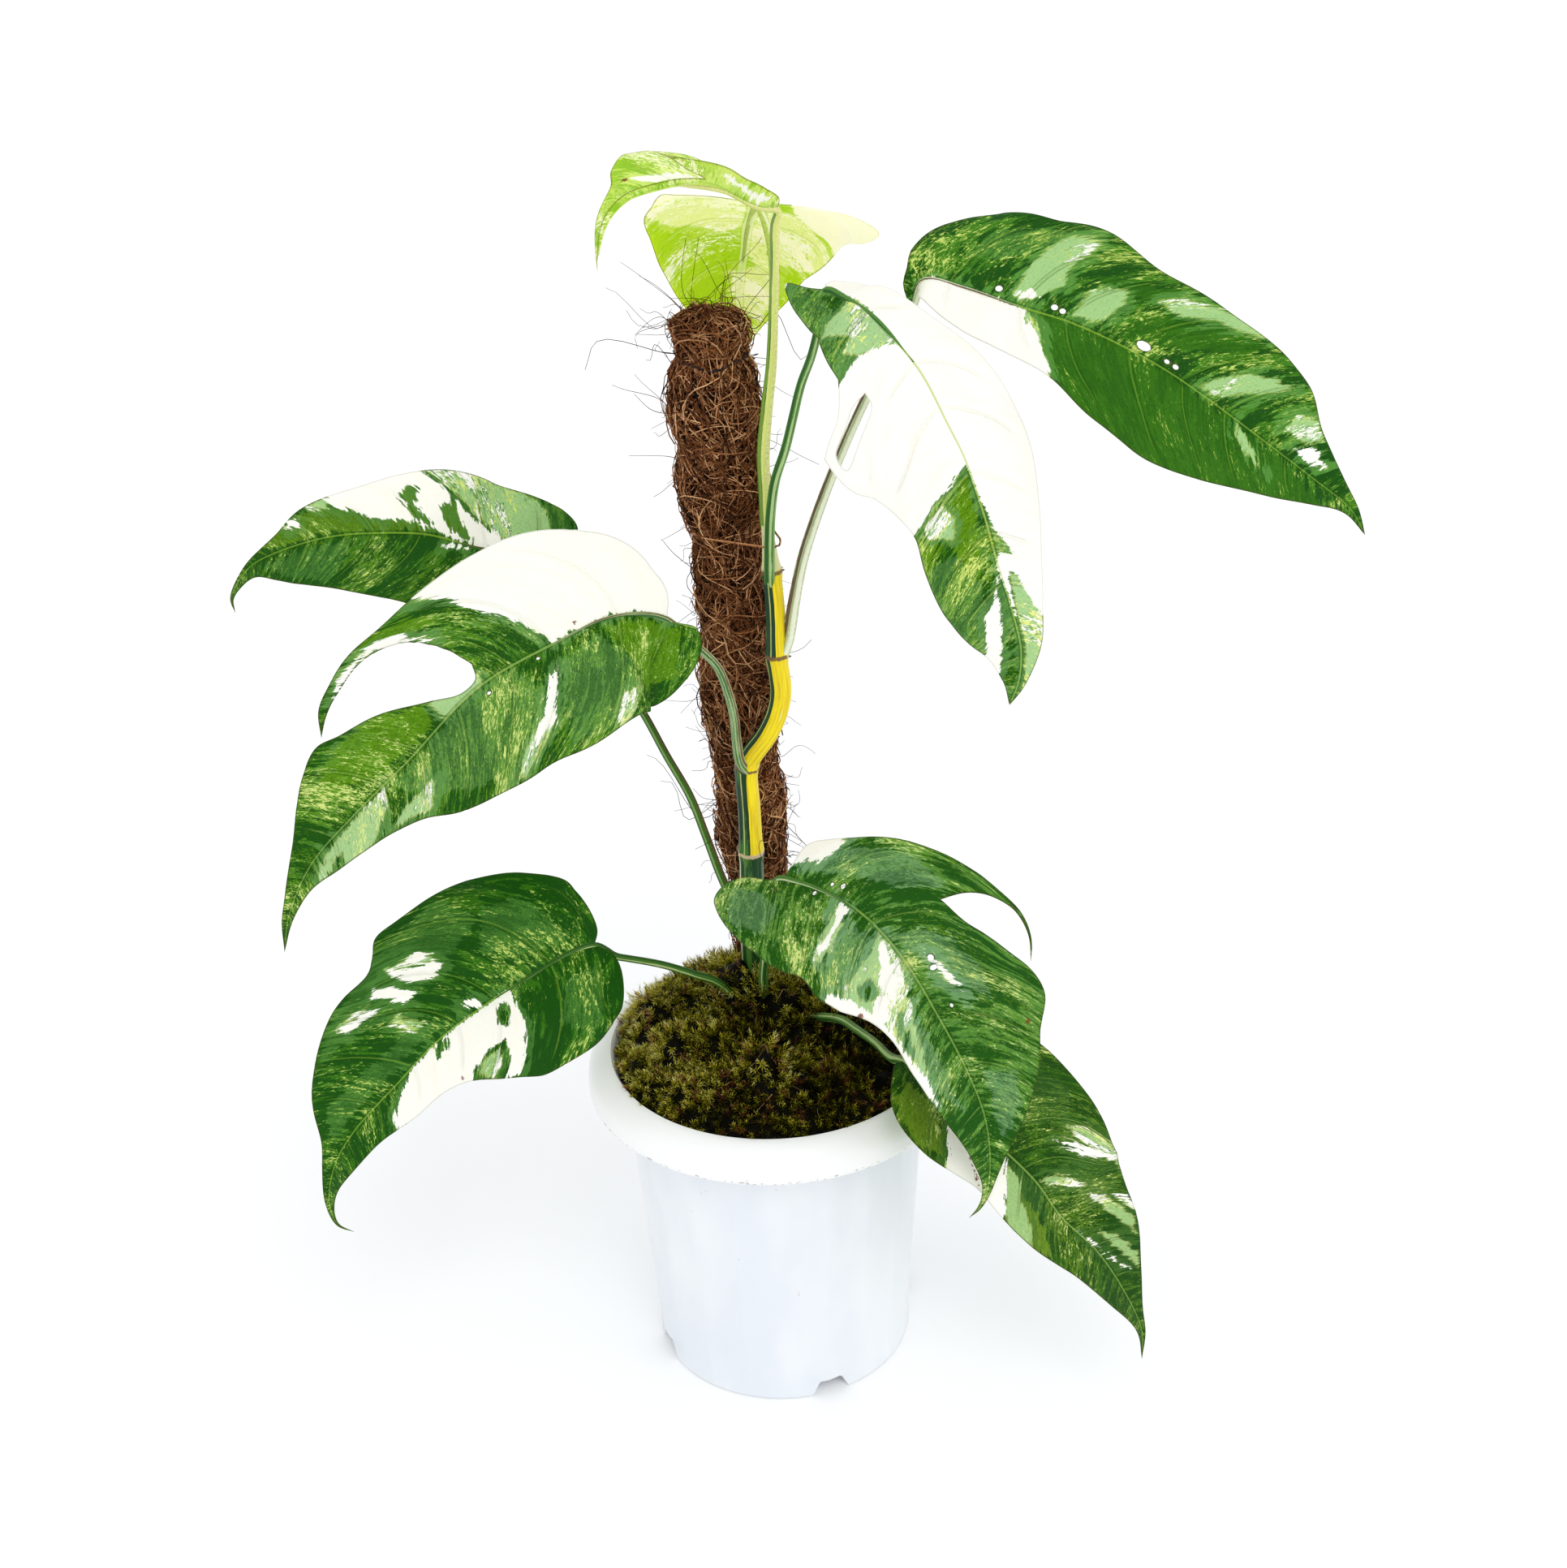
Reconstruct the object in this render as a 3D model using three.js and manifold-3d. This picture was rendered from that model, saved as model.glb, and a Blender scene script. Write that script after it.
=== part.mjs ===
// A potted climbing aroid, the variegated dragon tail plant: a ribbed white nursery pot filled with
// potting mix under a cushion of moss, a coir pole on a stake, a jointed stem tied to the pole, and nine
// leaves on long stalks. Millimetres, +Z up, the pot's resting face at the origin, the leafy front at -Y.
import * as THREE from 'three';
import { mergeVertices } from 'three/addons/utils/BufferGeometryUtils.js';
import { ConvexHull } from 'three/addons/math/ConvexHull.js';
import Module from 'manifold-3d';

const wasm = await Module();
wasm.setup();

// Driving dimensions of the pot
const RIM_RADIUS = 75;
const POT_HEIGHT = 141.7;
const FOOT_RADIUS = 52.6;
const NECK_RADIUS = 61.5;
const NECK_HEIGHT = 128;
const WALL = 1.8;
const FLOOR = 8;
const PAD_RADIUS = 18;
const FACETS = 20;
const FACET_START = 0.7;
const FACET_HOLLOW = 0.45;
const NOTCHES = 4;
const NOTCH_AT = 20.4;
const NOTCH_WIDTH = 17;
const NOTCH_HEIGHT = 7;
const DRAINS = 8;
const DRAIN_RADIUS = 4;
const DRAIN_RING = 34;

// The filling
const CLEAR = 0.35;
const MIX_TOP = 132;
const MOSS_RADIUS = 63;
const MOSS_EDGE = 140.5;
const MOSS_RISE = 11;
const MOSS_CROWN = 20;
const TUFT = 3.2;

// The coir pole and its stake
const POLE_FOOT = new THREE.Vector3(1, 36, 60);
const POLE_HEAD = new THREE.Vector3(-13.4, 36, 432);
const STAKE_RADIUS = 6;
const STAKE_FOOT = 12;

// The cords that hold the coir together and the stem to the pole
const POLE_TIE = { z: 416, cord: 1.5, sunk: 0.6 };
const STEM_TIE = { z: 350, cord: 0.5, slack: 1.4 };

// Leaves
const BLADE = 0.9;
const EDGE_STEP = 6.5;
const INNER_STEP = 13;
const CURL_SPAN = 40;
const WAVE = 0.9;
const WAVE_PITCH = 31;

/** A seeded stream of numbers from 0 to 1. */
function seeded(seed) {
  let state = seed >>> 0;
  return () => {
    state = (state + 0x6d2b79f5) >>> 0;
    let t = Math.imul(state ^ (state >>> 15), 1 | state);
    t = (t + Math.imul(t ^ (t >>> 7), 61 | t)) ^ t;
    return ((t ^ (t >>> 14)) >>> 0) / 4294967296;
  };
}

const vectors = (list) => list.map((p) => new THREE.Vector3(...p));

/** The curve through the given places. */
const curveOf = (list) => new THREE.CatmullRomCurve3(vectors(list), false, 'centripetal');

/** A number read off a short list of [at, value] stations, evenly in between. */
function along(stations, at) {
  if (at <= stations[0][0]) return stations[0][1];
  for (let i = 1; i < stations.length; i += 1) {
    const [x0, y0] = stations[i - 1];
    const [x1, y1] = stations[i];
    if (at <= x1) return y0 + ((y1 - y0) * (at - x0)) / (x1 - x0);
  }
  return stations.at(-1)[1];
}

// Solids and their joins

function indexed(geometry) {
  const plain = geometry.clone();
  for (const name of Object.keys(plain.attributes)) {
    if (name !== 'position') plain.deleteAttribute(name);
  }
  return mergeVertices(plain, 1e-4);
}

function solidOf(geometry) {
  const merged = indexed(geometry);
  return new wasm.Manifold(new wasm.Mesh({
    numProp: 3,
    vertProperties: new Float32Array(merged.attributes.position.array),
    triVerts: new Uint32Array(merged.index.array),
  }));
}

function geometryOf(solid) {
  const mesh = solid.getMesh();
  const geometry = new THREE.BufferGeometry();
  geometry.setAttribute('position', new THREE.BufferAttribute(new Float32Array(mesh.vertProperties), 3));
  geometry.setIndex(new THREE.BufferAttribute(new Uint32Array(mesh.triVerts), 1));
  return geometry;
}

function meshGeometry(points, triangles) {
  const geometry = new THREE.BufferGeometry();
  geometry.setAttribute('position', new THREE.Float32BufferAttribute(points.flatMap((p) => p.toArray()), 3));
  geometry.setIndex(triangles.flat());
  return geometry;
}

/** A closed body lofted through rings of equal count: looped back on itself, or with a fan over each end. */
function loft(rings, looped = false) {
  const sides = rings[0].length;
  const points = rings.flat();
  const triangles = [];
  for (let i = 0; i < rings.length - (looped ? 0 : 1); i += 1) {
    const next = ((i + 1) % rings.length) * sides;
    for (let j = 0; j < sides; j += 1) {
      const k = (j + 1) % sides;
      triangles.push([i * sides + j, i * sides + k, next + k], [i * sides + j, next + k, next + j]);
    }
  }
  if (looped) return meshGeometry(points, triangles);
  for (const [ring, turn] of [[0, 1], [rings.length - 1, 0]]) {
    const centre = new THREE.Vector3();
    for (const p of rings[ring]) centre.addScaledVector(p, 1 / sides);
    points.push(centre);
    for (let j = 0; j < sides; j += 1) {
      const a = ring * sides + j;
      const b = ring * sides + ((j + 1) % sides);
      triangles.push(turn ? [points.length - 1, b, a] : [points.length - 1, a, b]);
    }
  }
  return meshGeometry(points, triangles);
}

/**
 * A tapered round stalk along the given places; girth gives its radius from 0 at the foot to 1. grow
 * widens and lengthens it, which makes the cutter of a hole that clears it.
 */
function stalk(places, girth, sides, step, grow = 0) {
  const curve = curveOf(places);
  const steps = Math.max(2, Math.round(curve.getLength() / step));
  const frames = curve.computeFrenetFrames(steps, false);
  const rings = [];
  for (let i = 0; i <= steps; i += 1) {
    const centre = curve.getPointAt(i / steps);
    const radius = girth(i / steps) + grow;
    if (i === 0) centre.addScaledVector(frames.tangents[i], -grow);
    if (i === steps) centre.addScaledVector(frames.tangents[i], grow);
    const ring = [];
    for (let j = 0; j < sides; j += 1) {
      const turn = (2 * Math.PI * j) / sides;
      ring.push(centre.clone()
        .addScaledVector(frames.normals[i], radius * Math.cos(turn))
        .addScaledVector(frames.binormals[i], radius * Math.sin(turn)));
    }
    rings.push(ring);
  }
  return loft(rings);
}

/** A body turned about Z from its profile of [radius, height] points. */
function turned(profile, segments) {
  const geometry = new THREE.LatheGeometry(profile.map(([r, z]) => new THREE.Vector2(r, z)), segments);
  return geometry.rotateX(Math.PI / 2);
}

// Pot

const wallRadius = (z) => FOOT_RADIUS + ((NECK_RADIUS - FOOT_RADIUS) * z) / NECK_HEIGHT;

/** The pot's section: pad, floor, foot ring, tapered wall, rolled rim, stacking step and inside. */
function potProfile() {
  const floorUnder = FLOOR - 2;
  return [
    [0, 0], [PAD_RADIUS, 0], [PAD_RADIUS + 4, floorUnder], [FOOT_RADIUS - 7, floorUnder],
    [FOOT_RADIUS - 5, 0], [FOOT_RADIUS - 0.6, 0], [wallRadius(0.8), 0.8],
    [wallRadius(NOTCH_HEIGHT + 5), NOTCH_HEIGHT + 5], [wallRadius(122), 122],
    [NECK_RADIUS, NECK_HEIGHT], [NECK_RADIUS + 3, 133], [RIM_RADIUS - 3.4, 130.5],
    [RIM_RADIUS - 2.4, 126.6], [RIM_RADIUS - 0.6, 126.4], [RIM_RADIUS, 127.8], [RIM_RADIUS, 133.2],
    [RIM_RADIUS - 1.2, 136.4], [RIM_RADIUS - 4.6, 139.5], [RIM_RADIUS - 8.2, POT_HEIGHT],
    [RIM_RADIUS - 10, 141.2], [RIM_RADIUS - 11.2, 132.8], [wallRadius(129) - WALL, 129],
    [wallRadius(FLOOR + 1.5) - WALL, FLOOR + 1.5], [wallRadius(FLOOR) - WALL - 1.5, FLOOR],
    [PAD_RADIUS + 5, FLOOR], [PAD_RADIUS, 2.4], [0, 2.4],
  ];
}

/** Presses the shallow facets into the outside of the turned wall. */
function facetWall(geometry) {
  const position = geometry.attributes.position;
  const p = new THREE.Vector3();
  const pitch = (2 * Math.PI) / FACETS;
  for (let i = 0; i < position.count; i += 1) {
    p.fromBufferAttribute(position, i);
    const radius = Math.hypot(p.x, p.y);
    const outside = p.z > 0.5 && p.z < NECK_HEIGHT - 2 && radius > wallRadius(p.z) - WALL / 2;
    if (outside) {
      const turn = Math.atan2(p.x, -p.y) - THREE.MathUtils.degToRad(FACET_START);
      const across = THREE.MathUtils.euclideanModulo(turn, pitch) / pitch;
      const press = 1 - (FACET_HOLLOW * Math.sin(Math.PI * across) + 0.2) / radius;
      position.setXY(i, p.x * press, p.y * press);
    }
  }
  return geometry;
}

/** One foot notch: an arch-topped slot cut outward through the foot ring. */
function notchCutter(degrees) {
  const half = NOTCH_WIDTH / 2;
  const arch = new THREE.Shape();
  arch.moveTo(-half, -1);
  arch.lineTo(half, -1);
  arch.lineTo(half * 0.72, NOTCH_HEIGHT - 1.6);
  arch.quadraticCurveTo(half * 0.62, NOTCH_HEIGHT, half * 0.4, NOTCH_HEIGHT);
  arch.lineTo(-half * 0.4, NOTCH_HEIGHT);
  arch.quadraticCurveTo(-half * 0.62, NOTCH_HEIGHT, -half * 0.72, NOTCH_HEIGHT - 1.6);
  arch.closePath();
  const geometry = new THREE.ExtrudeGeometry(arch, { depth: 14, bevelEnabled: false, curveSegments: 3 });
  geometry.rotateX(Math.PI / 2).translate(0, -(FOOT_RADIUS - 6), 0);
  return geometry.rotateZ(THREE.MathUtils.degToRad(degrees));
}

function pot() {
  let solid = solidOf(facetWall(turned(potProfile(), FACETS * 2)));
  for (let i = 0; i < NOTCHES; i += 1) {
    solid = solid.subtract(solidOf(notchCutter(NOTCH_AT + (360 * i) / NOTCHES)));
  }
  for (let i = 0; i < DRAINS; i += 1) {
    const turn = (2 * Math.PI * i) / DRAINS;
    const drain = new THREE.CylinderGeometry(DRAIN_RADIUS, DRAIN_RADIUS, 6, 10).rotateX(Math.PI / 2);
    drain.translate(DRAIN_RING * Math.cos(turn), DRAIN_RING * Math.sin(turn), FLOOR - 1);
    solid = solid.subtract(solidOf(drain));
  }
  return geometryOf(solid);
}

// Coir pole

/** The pole's girth, [height, radius]: bulged where the coir is loose, drawn in where it is bound. */
const POLE_GIRTH = [
  [60, 10], [150, 10.2], [199, 10.6], [205, 11.6], [213, 12.9], [232, 13.1], [251, 12.4], [259, 13],
  [268, 15.1], [279, 15.2], [292, 14.3], [302, 13.7], [308, 13.1], [318, 14.4], [327, 12.6],
  [336, 14.4], [346, 12.1], [356, 14.3], [368, 16.2], [376, 15.4], [383, 14.9], [390, 17.4],
  [396, 18], [402, 17.2], [406, 15.7], [411, 16.4], [415, 14], [418, 13.4], [424, 13.8], [430, 13.2],
];

const poleAt = (z) => {
  const t = (z - POLE_FOOT.z) / (POLE_HEAD.z - POLE_FOOT.z);
  return POLE_FOOT.clone().lerp(POLE_HEAD, t);
};

/** The coir wrap: lumpy rings with slanting strand ridges, widened by grow for a clearance. */
function poleSolid(grow) {
  const sides = 18;
  const random = seeded(11);
  const lumps = Array.from({ length: 6 }, () => [1 + Math.floor(random() * 4), random() * 9, random() * 9]);
  const heights = [POLE_FOOT.z, 110, 150];
  for (let z = 166; z <= POLE_HEAD.z - 1; z += 8) heights.push(z);
  const rings = heights.map((height, i) => Array.from({ length: sides }, (_, j) => {
    const end = i === 0 ? -grow : i === heights.length - 1 ? grow : 0;
    const z = height + end;
    const turn = (2 * Math.PI * j) / sides;
    let radius = along(POLE_GIRTH, z) + grow;
    if (z > 150) {
      for (const [waves, lift, start] of lumps) radius += 0.28 * Math.sin(waves * turn + z / (4 + lift) + start);
      radius += (j + i) % 2 ? 0.45 : -0.35;
    }
    return poleAt(z).add(new THREE.Vector3(radius * Math.cos(turn), radius * Math.sin(turn), 0));
  }));
  return loft(rings);
}

const stakePlaces = (top) => [poleAt(STAKE_FOOT).toArray(), poleAt(200).toArray(), poleAt(top).toArray()];
const stakeSolid = (grow, top) => stalk(stakePlaces(top), () => STAKE_RADIUS, 12, 240, grow);

/** A level loop of cord at height z drawn tight round the circles given as [x, y, radius]. */
function cordLoop(z, circles, cord) {
  const turns = 26;
  const sides = 6;
  const rings = Array.from({ length: turns }, (_, i) => {
    const turn = (2 * Math.PI * i) / turns;
    const outward = new THREE.Vector3(Math.cos(turn), Math.sin(turn), 0);
    const reach = ([x, y, radius]) => x * outward.x + y * outward.y + radius;
    const [x, y, radius] = circles.reduce((best, circle) => (reach(circle) > reach(best) ? circle : best));
    const centre = new THREE.Vector3(x, y, z).addScaledVector(outward, radius + cord);
    return Array.from({ length: sides }, (__, j) => {
      const roll = (2 * Math.PI * j) / sides;
      return centre.clone().addScaledVector(outward, cord * Math.cos(roll))
        .setZ(z - cord * Math.sin(roll));
    });
  });
  return loft(rings, true);
}

const circleOfPole = (z, gap) => [poleAt(z).x, poleAt(z).y, along(POLE_GIRTH, z) + gap];

// Stem

/** The climbing stem, from its buried foot to its tip, bent across the pole's face above the fourth node. */
const STEM = [
  [-9, 22, 104], [-8, 21, 130], [-7, 20, 151], [-7, 18, 181], [-6, 16, 217], [-6, 15, 239], [-6, 14, 260],
  [-3, 13, 266], [2, 13, 273], [6, 14, 281], [8, 15, 290], [7, 15, 305], [7, 16, 324], [6, 17, 343],
  [5, 18, 357],
];
const STEM_NODES = [0.31, 0.455, 0.605, 0.8, 0.93];
const STEM_GIRTH = [[0, 3.2], [0.12, 4.6], [0.5, 4.9], [0.62, 4.4], [0.8, 3.9], [0.93, 3.4], [1, 1.9]];

/** Stem radius: an even taper with a swollen ring at each node. */
function stemRadius(t) {
  let radius = along(STEM_GIRTH, t);
  for (const node of STEM_NODES) radius += 0.55 * Math.exp(-(((t - node) / 0.012) ** 2));
  return radius;
}

const stemSolid = (grow) => stalk(STEM, stemRadius, 10, 6.5, grow);

// Leaves

/**
 * Each leaf: its midrib from stalk to tip; the way its upper face looks at the base, middle and tip;
 * fold, the degrees that each half lifts from flat at the midrib, and curl, the degrees that it then bends
 * over CURL_SPAN, both as [left, right]; and the outline of each half as runs of [along, across] points
 * that meet at sharp corners. Left is on the left hand of one who looks at the upper face, tip upward.
 * stalk holds the petiole's places from the stem up to the blade.
 */
const LEAVES = [
  {
    name: 'leaf_1_top',
    colour: 0xa9c545,
    stalk: [[5, 18, 355.5], [5, 17.6, 363], [5, 17, 372], [5, 15, 385], [7, 14, 404], [9, 14, 419], [11, 12, 449], [12, 10, 470]],
    girth: [[0, 2.1], [0.25, 2.2], [1, 1.3]],
    midrib: [
      [13, 8, 476], [8, 4, 478], [3, 0, 481], [-2, -4, 485], [-9, -9, 490], [-18, -15, 492], [-27, -21, 492],
      [-36, -25, 490], [-42, -28, 485], [-45, -30, 479], [-47, -31, 468],
    ],
    face: [[-0.2, 0.05, 1], [-0.2, 0.1, 1], [-0.8, 0.1, 0.4]],
    fold: [36, 34],
    curl: [0, 0],
    left: [[[4, 6], [13, 8], [25, 8], [38, 11], [50, 15], [56, 20]], [[46, 9], [35, 2]], [[50, 3], [70, 3], [82, 1]]],
    right: [[[-3, -5], [-2, -14], [10, -21], [32, -17], [48, -20], [56, -21], [61, -17], [64, -10], [72, -6], [82, -3]]],
  },
  {
    name: 'leaf_2_behind_pole',
    colour: 0x9dbb3c,
    stalk: [
      [5, 19.4, 346], [5.1, 22.5, 358], [5.4, 26, 378], [7.2, 29.5, 399], [9, 31.5, 416], [10.4, 33, 438],
      [10.4, 33, 454], [8.6, 33, 465],
    ],
    girth: [[0, 1.6], [1, 1.3]],
    midrib: [
      [6, 34, 471], [5, 38, 470], [4, 46, 464], [2, 54, 457], [1, 62, 448], [-1, 68, 436], [-2, 72, 425],
      [-2, 75, 413], [-1, 77, 403],
    ],
    face: [[0, 0.2, 1], [0, 0.75, 0.65], [0, 0.95, 0.3]],
    fold: [16, -2],
    curl: [-22, -12],
    left: [[[-4, 4], [-8, 13], [-5, 24], [4, 33], [18, 37], [30, 37], [42, 34], [56, 28], [68, 20], [78, 8]]],
    right: [[[-3, -4], [0, -12], [4, -22], [7, -32], [11, -40], [16, -47], [21, -43], [28, -38], [38, -32], [50, -24], [62, -18],
      [76, -7]]],
  },
  {
    name: 'leaf_3_high_right',
    colour: 0x3f6b2a,
    stalk: [
      [8, 15, 303], [11, 14.4, 311], [12.6, 14, 318], [14, 14, 326], [18, 13, 345], [26, 12, 369], [35.2, 10.5, 392],
      [45.3, 10, 413.5], [55.4, 9, 432],
    ],
    girth: [[0, 2.6], [0.2, 2.1], [1, 1.5]],
    midrib: [
      [59.4, 8, 442], [60.4, 7, 448], [64.4, 5, 451], [77.5, 0, 448], [95.6, -7, 443], [110.7, -12, 439],
      [127.8, -18, 432], [143, -23, 424], [158, -28, 414], [174.2, -32, 402], [192.3, -35, 388],
      [205.4, -36, 377], [211.5, -36, 367],
    ],
    face: [[0.1, -0.45, 0.9], [0.15, -0.7, 0.75], [0.3, -0.8, 0.5]],
    fold: [12, 12],
    curl: [-10, -10],
    left: [[
      [-1, 2], [5, 5], [8, 15], [11, 22], [17, 30], [29, 36], [42, 38], [57, 39], [72, 35], [86, 31], [103, 31],
      [120, 30], [133, 29], [144, 25], [155, 16], [167, 9], [177, 4],
    ]],
    right: [[
      [4, -4], [10, -11], [20, -18], [32, -22], [42, -23], [56, -26], [68, -28], [85, -34], [103, -36],
      [120, -33], [136, -25], [150, -18], [166, -9], [176, -4],
    ]],
  },
  {
    name: 'leaf_4_half_white',
    colour: 0x9db487,
    stalk: [
      [5.5, 15.5, 334], [5.6, 11.6, 341], [6, 9.9, 352], [7, 9, 366], [9, 6, 379], [13, 3, 392], [16, -1, 405], [19, -5, 418],
      [23, -9, 430], [26, -13, 443],
    ],
    girth: [[0, 1.9], [0.15, 1.7], [1, 1.4]],
    midrib: [
      [28, -17, 455], [33, -22, 454], [39, -28, 453], [50, -40, 444], [58, -48, 435], [66, -56, 420],
      [71, -60, 410], [77, -65, 392], [81, -68, 377], [86, -71, 360], [89, -74, 346], [88, -76, 335],
      [85, -77, 327],
    ],
    face: [[0, -0.6, 0.85], [0.05, -0.9, 0.5], [0, -0.97, 0.15]],
    fold: [-22, -4],
    curl: [-16, -10],
    left: [[
      [-3, 3], [-3, 8], [4, 13], [15, 16.5], [25, 19], [38, 23], [52, 27], [68, 29.3], [87, 27], [109, 21],
      [122, 17], [137, 11.5], [145, 9], [154, 5],
    ]],
    right: [
      [[-6, -2], [-15, -4], [-8, -10], [3, -15], [25, -22], [33, -23]],
      [[40, -28], [50, -34.5], [60, -41.5]],
      [[68, -40], [80, -33], [92, -27], [100, -24], [113, -24], [129, -22], [141, -17], [151, -11], [160, -5]],
    ],
    slots: [[[43, -19], [50, -20], [58, -27], [66, -36.5], [61, -37.5], [53, -31], [45, -25]]],
  },
  {
    name: 'leaf_5_left_rear',
    colour: 0x3d6a2c,
    stalk: [
      [-7.5, 17, 182], [-12, 15.5, 190], [-15, 15, 200], [-19, 14, 213], [-23, 15, 227], [-29, 17, 246], [-37, 20, 262],
      [-45, 23, 279], [-56, 26, 298], [-67, 29, 319], [-76, 29, 334],
    ],
    girth: [[0, 1.9], [0.1, 1.6], [1, 1.3]],
    midrib: [
      [-82, 26, 341], [-90, 24, 346], [-101, 22, 350], [-119, 18, 358], [-138, 14, 361], [-152, 10, 362],
      [-167, 6, 360], [-181, 3, 355], [-187, 1, 349], [-190, 0, 343], [-189, -1, 338],
    ],
    face: [[-0.15, -0.6, 0.8], [-0.25, -0.65, 0.7], [-0.4, -0.75, 0.5]],
    fold: [14, 14],
    curl: [-12, -12],
    left: [[[-4, 3], [-9, 9], [-8, 19], [0, 28], [14, 33], [32, 34], [52, 31], [66, 28], [86, 21], [100, 12], [110, 5]]],
    right: [[[-5, -3], [-12, -10], [-12, -20], [-5, -24], [8, -25], [22, -26], [38, -26], [52, -22], [72, -16], [86, -12], [96, -6], [108, -2]]],
  },
  {
    name: 'leaf_6_left_split',
    colour: 0x5d8048,
    stalk: [
      [-5, 12.5, 257], [-8.5, 8.5, 264], [-9.5, 7, 273], [-10, 4, 286], [-12, 0, 299], [-15, -5, 311], [-20, -8, 319],
      [-26, -11, 326],
    ],
    girth: [[0, 1.9], [0.2, 1.7], [1, 1.4]],
    midrib: [
      [-32, -14, 335], [-38, -16, 338], [-50, -20, 340], [-73, -28, 333], [-99, -38, 322], [-125, -48, 299],
      [-144, -55, 283], [-161, -60, 266], [-171, -63, 247], [-175, -63, 231],
    ],
    face: [[-0.25, -0.75, 0.6], [-0.25, -0.8, 0.55], [-0.3, -0.85, 0.45]],
    fold: [12, 12],
    curl: [-12, -12],
    left: [[
      [-5, 0], [-12, 0], [-15, 5], [-14, 13], [-10, 21], [-4, 29], [4, 35], [14, 38], [30, 40], [45, 41.5],
      [62, 41], [80, 40], [90, 38], [100, 34], [110, 28.5], [120, 21], [131, 16.5], [145, 13], [158, 10],
      [171, 5], [186, 2],
    ]],
    right: [
      [
        [1, -5], [7, -16], [17, -29], [28, -38], [40, -42], [54, -43], [68, -41], [84, -41], [98, -42],
        [113, -40.5], [122, -36], [128, -28],
      ],
      [[121, -32.5], [114, -35.5], [102, -37], [92, -35.5], [83, -30], [76, -19], [72, -8]],
      [
        [74, -3], [81, -2.5], [91, -9], [106, -19], [123, -24], [132, -27], [142, -23], [151, -17],
        [162, -9], [177, -4], [189, -2],
      ],
    ],
  },
  {
    name: 'leaf_7_low_left',
    colour: 0x3a6828,
    stalk: [
      [-9, 20, 134], [-11.5, 14, 143], [-13.5, 12, 152], [-17, 10, 159], [-23, 8, 166], [-30, 5, 171], [-36, 3, 175], [-43, 1, 179],
      [-49, -1, 182], [-56, -3, 185], [-61, -5.5, 188],
    ],
    girth: [[0, 2.1], [0.3, 1.6], [1, 1.3]],
    midrib: [
      [-68, -8, 195], [-76, -12, 195], [-93, -20, 189], [-110, -28, 182], [-128, -36, 172], [-144, -43, 158],
      [-162, -50, 141], [-170, -54, 129], [-174, -56, 113], [-172, -57, 102], [-166, -57, 98],
    ],
    face: [[-0.2, -0.7, 0.7], [-0.25, -0.8, 0.6], [-0.35, -0.9, 0.3]],
    fold: [10, 10],
    curl: [-12, -12],
    left: [[
      [-3, 3], [-5, 5], [-6, 10], [-5, 17], [-1, 27], [3, 32], [11, 35], [21, 38], [33, 38.5], [45, 37],
      [53, 32.5], [60, 28.5], [70, 22], [84, 17], [98, 15], [112, 12], [131, 9], [145, 4], [156, 1.5],
    ]],
    right: [[
      [-3, -5], [-3, -13], [0, -23], [6, -31], [14, -40], [26, -46], [42, -48], [58, -48.5], [66, -47.5],
      [70, -42], [74, -38.5], [85, -39], [95, -37], [106, -32.5], [114, -26], [122, -18], [130, -8], [138, -4.5],
      [157, -1.2],
    ]],
  },
  {
    name: 'leaf_8_low_right_split',
    colour: 0x4d7739,
    stalk: [[-6.5, 18, 134], [-3.5, 12.5, 142], [-3, 8, 154], [-3, 3, 171], [-1, -3, 190], [1, -8, 206], [3, -11.5, 216]],
    girth: [[0, 2.3], [0.3, 1.9], [1, 1.5]],
    midrib: [
      [4, -12, 224], [11, -16, 225], [21, -22, 224], [34, -31, 220], [45, -42, 213], [53, -52, 205],
      [61, -63, 194], [70, -72, 178], [77, -80, 161], [79, -85, 146], [78, -88, 132], [75, -89, 124],
      [71, -90, 120],
    ],
    face: [[0.15, -0.6, 0.8], [0.2, -0.75, 0.65], [0.3, -0.9, 0.35]],
    fold: [12, 12],
    curl: [-10, -14],
    left: [
      [[3, 2], [5, 7], [8, 16], [14, 20], [22, 25], [34, 33], [45, 40], [58, 45], [70, 47], [79, 45], [86, 41]],
      [[76, 45], [67, 45], [60, 41], [56, 35], [53, 25]],
      [[62, 27], [75, 34], [88, 39], [99, 39], [108, 32], [118, 26], [128, 18], [139, 9], [152, 3]],
    ],
    right: [[
      [-5, -1], [-13, -1], [-20, -5], [-22, -13], [-18, -19], [-10, -26], [2, -33], [15, -37], [32, -38], [46, -36],
      [58, -37], [68, -33], [78, -25], [87, -21], [101, -20], [124, -16], [143, -8], [156, -2.5],
    ]],
  },
  {
    name: 'leaf_9_low_right_rear',
    colour: 0x4b7a30,
    stalk: [
      [-3.5, 21, 134], [2.5, 14, 140], [7, 7, 147], [11, 1, 151], [14, -3, 154], [20, -9, 158], [27, -16, 161], [33, -25, 162],
      [40, -35, 162], [45, -43, 161],
    ],
    girth: [[0, 2.1], [0.3, 1.8], [1, 1.4]],
    midrib: [
      [50, -50, 164], [60, -57, 157], [72, -63, 147], [87, -68, 133], [98, -71, 121], [108, -73, 105],
      [121, -74, 90], [133, -73, 68], [141, -71, 46], [142, -70, 30],
    ],
    face: [[0.3, -0.55, 0.8], [0.35, -0.75, 0.6], [0.4, -0.9, 0.3]],
    fold: [12, 12],
    curl: [-12, -12],
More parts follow.
